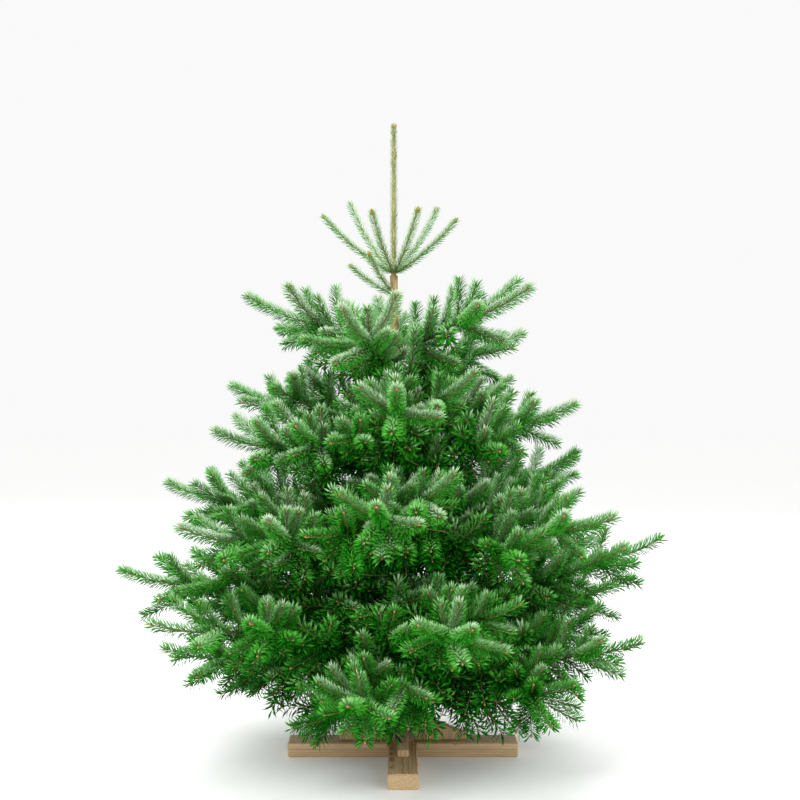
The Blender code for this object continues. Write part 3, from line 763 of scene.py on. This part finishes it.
def trunk_shoots(standing):
    """The weak shoots that leave the trunk itself between its whorls, each with the mass it stands in."""
    draw = random.Random("trunk shoots")
    for number in range(TRUNK_BUDS):
        height = draw.uniform(*TRUNK_SHOOT_HEIGHTS)
        foot = trunk_centre(height)
        toward = heading_of(number * GOLDEN_ANGLE, draw.uniform(*TRUNK_SHOOT_RISE))
        growth = toward * draw.uniform(*TRUNK_SHOOT_LENGTH) * (TREE_HEIGHT - height)
        for cut in CUT_SHORT:
            places = [foot + growth * cut * share for share in SHORT_PLACES]
            if all(standing.leave_open(place) for place in places):
                tip = places[-1]
                mass = min(LIMBS, key=lambda place: LIMBS[place].away(tip))
                shoot = short_shoot(f"trunk.{number}", foot, tip, toward, TRUNK_SHOOT_RADIUS)
                standing.add(shoot)
                yield mass, shoot
                break


def inner_limb(place, stem):
    """The bare inner limb of a bough, as one length of wood."""
    tier = TIERS[place[0]]
    points, radii, _ = bough_path(tier, tier.boughs[place[1]])
    return stem._replace(key=stem.key + "in", start=points[0], end=points[-1], radius=radii)


def whole_foliage():
    """The shoots of every mass: those that its solid has, and then the finer ones of the whole crown."""
    standing = Shoots()
    foliage = {}
    spaces = {}
    older = []  # lengths of wood that put out short shoots
    for place in LIMBS:
        foliage[place], spaces[place] = main_shoots(*place)
        for shoot in foliage[place]:
            standing.add(shoot)
        older += [(shoot, place, 0) for shoot in foliage[place] if not shoot.last]
        if TIERS[place[0]].bare:
            older.append((inner_limb(place, foliage[place][0]), place, INNER_BARE))
    for place, shoot in trunk_shoots(standing):
        foliage[place].append(shoot)
        older.append((shoot, place, TRUNK_SHOOT_BARE))
    random.Random("crown").shuffle(older)
    for shoot, place, bare in older:
        foliage[place] += short_shoots(shoot, spaces[place], standing, bare)
    return foliage


def bent(shoot, shares):
    """Points and headings along a shoot, which hangs a little in its middle."""
    start = np.array(shoot.start)
    end = np.array(shoot.end)
    length = np.linalg.norm(end - start)
    middle = (start + end) / 2 - np.array(shoot.up) * shoot.sag * 2 * length
    shares = np.asarray(shares)[:, None]
    points = (1 - shares) ** 2 * start + 2 * shares * (1 - shares) * middle + shares**2 * end
    headings = (1 - shares) * (middle - start) + shares * (end - middle)
    return points, headings / np.linalg.norm(headings, axis=1, keepdims=True)


def twig_wood(name, colour, roughness):
    wood = Finish(name, colour, roughness)
    wood.roughened(wood.noise(scale=300, detail=3.0), strength=0.4, depth=0.0008)
    return wood.material


def age_of(tier, shoot):
    """The number of a shoot's wood among WOODS."""
    if tier.years == 1:
        return 0
    if shoot.last:
        return 1
    return 3 if shoot.order == 0 else 2


woods = [twig_wood(*wood) for wood in WOODS]
foliage = whole_foliage()
for tier_number, tier in enumerate(TIERS):
    twigs = Pile()
    for number in range(len(tier.boughs)):
        for shoot in foliage[tier_number, number]:
            sides = LIMB_SIDES if shoot.order == 0 and not shoot.last else TWIG_SIDES
            path, _ = bent(shoot, np.linspace(0, 1, TWIG_POINTS))
            rings, _ = ringed(path, np.linspace(*shoot.radius, TWIG_POINTS).clip(TIP_RADIUS), sides)
            twigs.add(rings.reshape(-1, 3), tube_faces(TWIG_POINTS, sides), age_of(tier, shoot))
    twigs = twigs.made(f"twigs_{tier.name}", woods)
    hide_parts(*(f"foliage_{tier.name}_{number + 1}" for number in range(len(tier.boughs))))

# ------------------------------------------------------------------------------------------------ needles
# Flat, blunt needles that live for years, set all round the upper half of each shoot and combed forward.
# Their upper side is glossy green, and two chalky bands make their lower side silvery. Sprays in the sun
# hold theirs up and look frosted. Shaded ones below spread theirs flat and are a clear, deep green. Light
# and shade are painted into their greens too. Painted light makes them paler high in the crown, out at the
# tips and on the upper side of each shoot, and painted shade makes them near black-green deep inside.

# What a shoot's needles are like. lean: angle from the shoot, on its upper side, on its lower side and at
# its tip. round_it: how far round it they stand, from straight above.
Habit = namedtuple("Habit", "length width a_metre lean round_it")
SUN_NEEDLES = Habit(0.0270, 0.0033, 2040, (46, 62, 38), 174)
SHADE_NEEDLES = Habit(0.0290, 0.0040, 1330, (52, 66, 46), 145)
INNER_NEEDLES = Habit(0.035, 0.0064, 640, (56, 74, 42), 178)
CROWN_NEEDLES = Habit(0.019, 0.0028, 1500, (42, 48, 38), 165)
SHORT_SHOOTS_NEEDLES = 0.85  # as many to a metre as on other shoots
SUNNY = 0.42  # a shoot that gets more light than this has sun needles
INNER_REACH = 0.60  # share of a bough's reach within which the needles are the inner ones
NEEDLE_FACES = ((0, 1, 3), (0, 3, 2), (0, 2, 1), (1, 2, 3))  # foot, two edges and tip: two above, two below
NEEDLE_KEEL = 0.28  # how far a needle's edges hang below its middle, to its width
NEEDLE_WIDEST = 0.66  # where along it that is
NEEDLE_ROOT = 0.7  # share of the wood's radius at which it starts
NEEDLE_SIZES = (0.93, 1.05)
NEEDLE_LIFT = 0.08  # how much it turns up to the light
LEAN_DRAW = 2.5
ROLL_DRAW = 0.22
TURN_DRAW = 0.15
TIP_LENGTH = 0.016  # of a shoot, where the needles close in
TIP_SHORTER = 0.10
FOOT_LENGTH = 0.012
FOOT_SHORTER = 0.25
LIMB_BARE = 0.30  # share of the foot of a limb's first length that has no needles
TWIG_BARE = 0.03
SEED_BITS = 32

# The greens are a row from painted deep shade, at 0, to chalky bloom and painted light, at 1. A needle's
# level is its place there.
GREENS = 10
GREEN_TONES = ((0.00, (0.002, 0.050, 0.001)), (0.25, (0.008, 0.230, 0.003)), (0.50, (0.100, 0.500, 0.045)),
               (0.75, (0.380, 0.690, 0.310)), (1.00, (0.680, 0.860, 0.590)))
NEEDLE_ROUGHNESS = (0.40, 0.60)  # of the first green and of the last
NEEDLE_GLOSS = 0.08
# Painted shade and painted light: the darkest green deep in the crown, paler greens in sun and on top
PAINTED_SHADE_LEVEL = 0.165
SUN_LEVEL = 0.52  # what full sun adds
PAINTED_TOP_LIGHT_LEVEL = 0.12  # what the upper side of a shoot adds
PAINTED_TOP_SUN_LEVEL = 0.29  # and adds besides in full sun
TIP_LEVEL = 0.10
CHALK_LEVEL = 0.04  # what a needle's lower side adds
CHALK_SUN_LEVEL = 0.16  # and adds besides in full sun
LEVEL_DRAW = 0.05
SUN_FOOT = -0.15  # the light at the foot of the trunk
SUN_OUT = 0.40  # what it gains at a bough's tip
SUN_MOST_OUT = 1.1
SUN_ABOVE = 0.17  # what it gains above the bough, for each SUN_RISE
SUN_RISE = 0.10
SUN_HEIGHT = 0.67  # what it gains at the top of the tree
SUN_DRAW = 0.20
CROWN_ABOVE = 1.8  # how many of SUN_RISE the newest whorls count for


def needle_finish(name, colour, roughness, gloss):
    """A waxy needle, with its gloss broken by a fine bloom."""
    needle = Finish(name, colour, roughness)
    needle.shader.inputs["Specular IOR Level"].default_value = gloss
    needle.roughened(needle.noise(scale=700, detail=2.0), strength=0.25, depth=0.0004)
    return needle.material


def green_finish(number):
    """One green of the row."""
    share = number / (GREENS - 1)
    places = [place for place, _ in GREEN_TONES]
    colour = [float(np.interp(share, places, [tone[part] for _, tone in GREEN_TONES])) for part in range(3)]
    roughness = float(np.interp(share, (0, 1), NEEDLE_ROUGHNESS))
    return needle_finish(f"needle_green_{number + 1}", colour, roughness, NEEDLE_GLOSS)


def unit(arrows):
    return arrows / np.linalg.norm(arrows, axis=1, keepdims=True)


def draws_for(shoot, what):
    """A shoot's own draws, by the number."""
    return np.random.default_rng(random.Random(f"{shoot.key}.{what}").getrandbits(SEED_BITS))


def needles_on(shoot, habit, bare, share_of_them=1.0):
    """A shoot's needles: their points and faces, and how near each is to its upper side and its tip."""
    draw = draws_for(shoot, "needles")
    length = (shoot.end - shoot.start).length * (1 - bare)
    count = round(length * habit.a_metre * share_of_them)
    share = bare + (1 - bare) * (np.arange(count) + draw.random(count)) / count
    foot, heading = bent(shoot, share)
    side = unit(np.cross(heading, np.array(shoot.up)))
    up = np.cross(side, heading)
    round_it = np.radians(GOLDEN_ANGLE) * np.arange(count) + draw.normal(0, TURN_DRAW, count)
    round_it = ((round_it + math.pi) % (2 * math.pi) - math.pi) * habit.round_it / 180
    upper = np.cos(round_it)
    low = np.abs(round_it) / math.radians(habit.round_it)
    outward = upper[:, None] * up + np.sin(round_it)[:, None] * side
    near_tip = np.clip(1 - (1 - share) * length / TIP_LENGTH, 0, 1)
    near_foot = np.exp(-(share - bare) * length / FOOT_LENGTH)
    lean = habit.lean[0] + (habit.lean[1] - habit.lean[0]) * low
    lean = np.radians(lean + (habit.lean[2] - lean) * near_tip + draw.normal(0, LEAN_DRAW, count))
    along = np.cos(lean)[:, None] * heading + np.sin(lean)[:, None] * outward
    along[:, 2] += NEEDLE_LIFT
    along = unit(along)
    flat = unit(np.cross(along, outward))
    top = np.cross(flat, along)
    roll = draw.normal(0, ROLL_DRAW, count)[:, None]
    across = np.cos(roll) * flat + np.sin(roll) * top
    face = np.cos(roll) * top - np.sin(roll) * flat
    size = (1 - TIP_SHORTER * near_tip - FOOT_SHORTER * near_foot) * draw.uniform(*NEEDLE_SIZES, count)
    size = (size * habit.length)[:, None]
    width = habit.width * draw.uniform(*NEEDLE_SIZES, count)[:, None]
    foot = foot + outward * (np.interp(share, (0, 1), shoot.radius) * NEEDLE_ROOT)[:, None]
    middle = foot + along * size * NEEDLE_WIDEST - face * width * NEEDLE_KEEL
    edge = across * width / 2
    points = np.stack([foot, middle - edge, middle + edge, foot + along * size], 1)
    faces = np.arange(count)[:, None, None] * points.shape[1] + np.array(NEEDLE_FACES)
    return points.reshape(-1, 3), faces.reshape(-1, 3), upper, near_tip


def greens_of(shoot, sunny, upper, near_tip):
    """The number of the green of each needle's four faces, with light and shade painted in. sunny is from
    0, deep shade, to 1.
    """
    draw = draws_for(shoot, "greens")
    # painted light and shade: sunny shoots and the upper side of each shoot get paler greens, shaded ones
    # darker
    level = PAINTED_SHADE_LEVEL + SUN_LEVEL * sunny + (PAINTED_TOP_LIGHT_LEVEL + PAINTED_TOP_SUN_LEVEL * sunny) * upper
    level += TIP_LEVEL * near_tip + draw.normal(0, LEVEL_DRAW, len(upper))
    chalky = level + CHALK_LEVEL + CHALK_SUN_LEVEL * sunny
    greens = np.stack([level, level, chalky, chalky], 1) * (GREENS - 1)
    return greens.round().clip(0, GREENS - 1).astype(int).ravel()


def sunniness(place, shoot):
    """How much light a shoot gets: more high in the crown, on top of its bough and out at the tips."""
    tip = shoot.end
    distance = math.hypot(tip.x, tip.y)
    out = min(distance / LIMBS[place].reach, SUN_MOST_OUT)
    above = (tip.z - LIMBS[place].foot.z - LIMBS[place].height_over(distance)) / SUN_RISE
    draw = random.Random(f"{shoot.key}.sun")
    if TIERS[place[0]].years == 1:
        above += CROWN_ABOVE
    sunny = SUN_FOOT + SUN_OUT * out + SUN_ABOVE * above + SUN_HEIGHT * tip.z / TREE_HEIGHT
    return min(max(sunny + either_way(draw, SUN_DRAW), 0), 1)


def habit_of(place, shoot, sunny):
    if TIERS[place[0]].years == 1:
        return CROWN_NEEDLES
    if sunny > SUNNY:
        return SUN_NEEDLES
    inner = math.hypot(shoot.end.x, shoot.end.y) < INNER_REACH * LIMBS[place].reach
    return INNER_NEEDLES if inner else SHADE_NEEDLES


greens = [green_finish(number) for number in range(GREENS)]
for place, shoots in foliage.items():
    needles = Pile()
    for shoot in shoots:
        sunny = sunniness(place, shoot)
        bare = LIMB_BARE if shoot.order == 0 and shoot.year == 0 and not shoot.last else TWIG_BARE
        fewer = SHORT_SHOOTS_NEEDLES if shoot.year == SHORT else 1.0
        points, faces, upper, near_tip = needles_on(shoot, habit_of(place, shoot, sunny), bare, fewer)
        needles.add(points, faces, greens_of(shoot, sunny, upper, near_tip))
    mass = f"{TIERS[place[0]].name}_{place[1] + 1}"
    needles = needles.made(f"needles_{mass}", greens, smooth=False)
    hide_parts(f"foliage_{mass}")

# ------------------------------------------------------------------------------------------------ buds
# Next year's growth, closed up in blunt buds of orange-brown scales, dull with resin. Each shoot ends in
# one, which sits in the end of its wood among the last needles. A limb's has a smaller one on each side.

BUD_SHAPE = ((0.0, 0.60), (0.35, 1.0), (0.75, 0.75), (1.0, 0.20))  # along it, and how thick
BUD_SIDES = 5
TOP_BUD_SIDES = 9
END_BUD = (0.0085, 0.0030)  # its length and its radius
SIDE_BUD = (0.0062, 0.0023)
SHORT_BUD = (0.0055, 0.0020)
SIDE_BUD_SPREAD = 48.0
SIDE_BUD_BACK = 0.0035
NEWEST_BUDS = 1.5  # how much bigger the newest whorl's buds are
BUD_SUNK = 0.0015
BUD_COLOUR = (0.48, 0.29, 0.09)


def add_bud(pile, foot, heading, size, bigger=1.0, sides=BUD_SIDES):
    """Adds one bud that grows from foot."""
    length = size[0] * bigger
    radius = size[1] * bigger
    path = [foot + heading * length * place for place, _ in BUD_SHAPE]
    rings, _ = ringed(path, [radius * thick for _, thick in BUD_SHAPE], sides)
    pile.add(rings.reshape(-1, 3), tube_faces(len(BUD_SHAPE), sides), 0)


def bud_scales(name, colour):
    """Papery overlapping scales with resin between them."""
    scales = Finish(name, colour, roughness=0.5)
    scales.roughened(scales.cells(scale=(900, 900, 700)), strength=0.7, depth=0.0008)
    return scales.material


resinous = bud_scales("bud_scales", BUD_COLOUR)
for tier_number, tier in enumerate(TIERS):
    buds = Pile()
    for number in range(len(tier.boughs)):
        for shoot in foliage[tier_number, number]:
            if not shoot.last:
                continue
            _, headings = bent(shoot, [1.0])
            heading = Vector(headings[0])
            foot = shoot.end - heading * BUD_SUNK
            bigger = NEWEST_BUDS if tier.years == 1 else 1.0
            add_bud(buds, foot, heading, SHORT_BUD if shoot.year == SHORT else END_BUD, bigger)
            if shoot.order < 2:
                for side in (-1, 1):
                    turned = Matrix.Rotation(math.radians(side * SIDE_BUD_SPREAD), 3, shoot.up) @ heading
                    add_bud(buds, foot - heading * SIDE_BUD_BACK, turned, SIDE_BUD, bigger)
    buds = buds.made(f"buds_{tier.name}", [resinous])
    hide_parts(*(f"foliage_{tier.name}_{number + 1}" for number in range(len(tier.boughs))))

# ------------------------------------------------------------------------------------------------ leader
# The trunk's newest length. Short young needles lie up against it all round, and it ends in a cluster of
# big buds, with a single one on its side lower down and an old one, still shut, below the newest whorl.

LEADER_NEEDLES = Habit(0.0140, 0.0028, 1100, (40, 40, 24), 180)
LEADER_FROM = NEWEST_WHORL + 0.012
YOUNG_GREEN = (0.24, 0.36, 0.11)
YOUNG_ROUGHNESS = 0.5
YOUNG_GLOSS = 0.5
TOP_BUD = (0.0125, 0.0048)
TOP_SIDE_BUD = (0.0110, 0.0041)
TOP_SIDE_BUDS = 5
TOP_SIDE_RISE = 40.0
TOP_RISE = 89.0  # just off upright, where a ring has no side to start from
LONE_BUDS = ((1.419, 20.0, (0.0080, 0.0030)), (1.079, -10.0, (0.0110, 0.0042)))  # height, bearing, size
LONE_BUD_RISE = 35.0
LEADER_BUD_COLOUR = (0.46, 0.34, 0.14)

start = trunk_centre(LEADER_FROM)
end = trunk_centre(LEADER_TOP)
front = Vector((0, -1, 0))
stem = Shoot("leader", start, end, front, 0, 0, True, (trunk_radius(LEADER_FROM), LEADER_RADIUS[1]), sag=0)
points, faces, _, _ = needles_on(stem, LEADER_NEEDLES, bare=0)
needles = Pile()
needles.add(points, faces, 0)
young = needle_finish("young_needle", YOUNG_GREEN, YOUNG_ROUGHNESS, YOUNG_GLOSS)
needles = needles.made("needles_leader", [young], smooth=False)
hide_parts("trunk")

buds = Pile()
for number in range(TOP_SIDE_BUDS):
    heading = heading_of(360 * number / TOP_SIDE_BUDS, TOP_SIDE_RISE)
    add_bud(buds, end - heading * BUD_SUNK, heading, TOP_SIDE_BUD, sides=TOP_BUD_SIDES)
add_bud(buds, end - Vector((0, 0, BUD_SUNK)), heading_of(0, TOP_RISE), TOP_BUD, sides=TOP_BUD_SIDES)
for height, bearing, size in LONE_BUDS:
    foot = trunk_centre(height) + heading_of(bearing, 0) * (trunk_radius(height) - BUD_SUNK)
    add_bud(buds, foot, heading_of(bearing, LONE_BUD_RISE), size, sides=TOP_BUD_SIDES)
buds = buds.made("buds_leader", [bud_scales("leader_bud_scales", LEADER_BUD_COLOUR)])
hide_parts("trunk")

# ------------------------------------------------------------------------------------------------ stand
# Two planed softwood timbers halved into a cross, with four braces up against the trunk. Each brace is cut
# from one board, and held by a countersunk steel screw through its head and another through its toe.

RING_WIDTH = 0.0042  # of one year's growth in the wood
WAVE_RATE = 20  # what a wave texture turns by for each metre, at scale 1
# The middle of the rings, in wood whose grain runs along X, Y and Z.
HEARTS = {"X": (0.0, 0.018, -0.030), "Y": (0.026, 0.0, 0.052), "Z": (0.040, 0.060, 0.0)}
FIBRES = (220, 9)  # how fine the wood's streaks are, across it and along it
RING_TONES = ((0.0, (0.66, 0.49, 0.29)), (0.62, (0.60, 0.42, 0.225)), (0.92, (0.40, 0.235, 0.10)),
              (1.0, (0.62, 0.45, 0.25)))
FIBRE_TONES = ((0.32, (0.78, 0.72, 0.66)), (0.62, (1, 1, 1)))
FIBRE_SHARE = 0.8
STEEL_TONES = ((0.3, (0.42, 0.41, 0.38)), (0.7, (0.62, 0.61, 0.57)))
BRACES = 4
SCREW_RADIUS = 0.0044
SCREW_PROUD = 0.0007
SCREW_CROWN = 4  # the power by which its head falls off to the rim
SCREW_ROUNDS = (0.0, 0.14, 0.28, 0.42, 0.56, 0.70, 0.90, 1.0)
SCREW_SECTORS = 32
SCREW_CROSS = (0.17, 0.62)  # half the width and the reach of its driver's cross, to its radius
SCREW_CROSS_DEPTH = 0.0016
# Each brace's two screws: how far from the middle, how high, and the rise of the axis.
SCREW_PLACES = ((0.0582, 0.114, 0.0), (0.1242, 0.0646, 68.4))


def planed_wood(name, along):
    """Planed softwood with its grain along one axis: rings that show as arcs at its ends, and fibres."""
    wood = Finish(name, colour=(0.6, 0.43, 0.25), roughness=0.55)
    fineness = 2 * math.pi / (WAVE_RATE * RING_WIDTH)
    rings = wood.texture("ShaderNodeTexWave", 1, HEARTS[along], Scale=fineness,
                         Distortion=1.6, Detail=3.0, Detail_Scale=0.5)
    rings.wave_type = "RINGS"
    rings.rings_direction = along
    rings.wave_profile = "SAW"
    fine = tuple(FIBRES[1] if axis == along else FIBRES[0] for axis in "XYZ")
    fibres = wood.noise(fine, detail=4.0, roughness=0.6)
    spring = wood.toned(rings.outputs["Fac"], RING_TONES)
    wood.painted(wood.mixed(FIBRE_SHARE, spring, wood.toned(fibres, FIBRE_TONES), "MULTIPLY"))
    wood.roughened(fibres, strength=0.3, depth=0.0008)
    return wood.material


def dress(node, material):
    """Gives a solid of the stand its finish."""
    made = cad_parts[node]
    if not made.material_slots:
        made.data.materials.append(material)
    for slot in made.material_slots:
        slot.material = material


def screw_steel():
    steel = Finish("screw_steel", colour=(0.55, 0.54, 0.50), roughness=0.35)
    steel.shader.inputs["Metallic"].default_value = 1.0
    turned = steel.noise(scale=600, detail=3.0)
    steel.painted(steel.toned(turned, STEEL_TONES))
    steel.roughened(turned, strength=0.3, depth=0.0003)
    return steel.material


def add_screw(pile, foot, heading):
    """Adds one screw's head, its cross let into it, that faces along heading."""
    turns = np.linspace(0, 2 * math.pi, SCREW_SECTORS, endpoint=False)
    rounds = np.array(SCREW_ROUNDS[1:])[:, None]
    across = np.cos(turns) * rounds
    up = np.sin(turns) * rounds
    half_width, reach = SCREW_CROSS
    in_cross = (np.minimum(abs(across), abs(up)) < half_width) & (np.maximum(abs(across), abs(up)) < reach)
    dome = SCREW_PROUD * (1 - rounds**SCREW_CROWN) - SCREW_CROSS_DEPTH * in_cross
    foot_of_rim = np.full(SCREW_SECTORS, -SCREW_CROSS_DEPTH / SCREW_RADIUS)
    rim = np.stack([across[-1], up[-1], foot_of_rim], -1)[None]
    face = np.stack([across, up, dome / SCREW_RADIUS], -1)
    points = np.concatenate([rim, face[::-1]]).reshape(-1, 3) * SCREW_RADIUS
    turned = np.array(heading.to_track_quat("Z", "Y").to_matrix())
    pile.add(points @ turned.T + np.array(foot), tube_faces(len(SCREW_ROUNDS), SCREW_SECTORS), 0)


dress("stand_timber_lower", planed_wood("pine_along_x", "X"))
dress("stand_timber_upper", planed_wood("pine_along_y", "Y"))
upright_pine = planed_wood("pine_upright", "Z")
screws = Pile()
for number in range(BRACES):
    dress(f"stand_brace_{number + 1}", upright_pine)
    bearing = 360 * number / BRACES
    for out, height, rise in SCREW_PLACES:
        add_screw(screws, heading_of(bearing, 0) * out + Vector((0, 0, height)), heading_of(bearing, rise))
screws.made("stand_screws", [screw_steel()])

# ------------------------------------------------------------------------------------------------ studio
# A plain pale floor that runs on to a white surround, soft light from above and both sides, and a
# camera a little under the height of the newest whorl.

FLOOR_HALF = 12.0
FLOOR_TONES = ((0.3, (0.92, 0.92, 0.915)), (0.7, (0.94, 0.94, 0.935)))
FLOOR_GLOW = 0.06
SURROUND_STRENGTH = 0.95
LAMP_SIZE = 2.4
LAMPS = {"key": ((-2.0, -2.2, 3.4), 90), "fill": ((2.6, -2.4, 2.2), 35), "back": ((0.6, 2.8, 3.0), 60)}
LIT_POINT = (0, 0, 0.7)
FRAME_WIDTH = 1.944  # of the view, at the trunk
CAMERA_DISTANCE = 3.25
CAMERA_HEIGHT = 0.98
VIEW_CENTRE = (-0.007, 0.0, 0.867)
SENSOR = 36.0


def stood(name, data, place=(0, 0, 0), facing=None):
    """A new thing in the scene, turned to look at a point if one is given."""
    made = bpy.data.objects.new(name, data)
    made.location = place
    if facing:
        made.rotation_euler = (Vector(facing) - Vector(place)).to_track_quat("-Z", "Y").to_euler()
    bpy.context.scene.collection.objects.link(made)
    return made


def pale_floor():
    floor = Finish("pale_floor", colour=(0.93, 0.93, 0.925), roughness=0.7)
    floor.painted(floor.toned(floor.noise(scale=8, detail=3.0), FLOOR_TONES))
    floor.shader.inputs["Emission Color"].default_value = (1, 1, 1, 1)
    floor.shader.inputs["Emission Strength"].default_value = FLOOR_GLOW
    return floor.material


ground = bpy.data.meshes.new("floor")
corners = [(x * FLOOR_HALF, y * FLOOR_HALF, 0) for x, y in ((-1, -1), (1, -1), (1, 1), (-1, 1))]
ground.from_pydata(corners, [], [range(len(corners))])
ground.materials.append(pale_floor())
stood("floor", ground)

surround = bpy.data.worlds.new("surround")
surround.use_nodes = True
surround.node_tree.nodes["Background"].inputs["Color"].default_value = (1, 1, 1, 1)
surround.node_tree.nodes["Background"].inputs["Strength"].default_value = SURROUND_STRENGTH
bpy.context.scene.world = surround

for name, (place, power) in LAMPS.items():
    lamp = bpy.data.lights.new(name, "AREA")
    lamp.size = LAMP_SIZE
    lamp.energy = power
    stood(name, lamp, place, LIT_POINT)

lens = bpy.data.cameras.new("camera")
lens.sensor_width = SENSOR
lens.lens = SENSOR * CAMERA_DISTANCE / FRAME_WIDTH
camera_place = (VIEW_CENTRE[0], -CAMERA_DISTANCE, CAMERA_HEIGHT)
bpy.context.scene.camera = stood("camera", lens, camera_place, VIEW_CENTRE)
bpy.context.scene.view_settings.view_transform = "Standard"
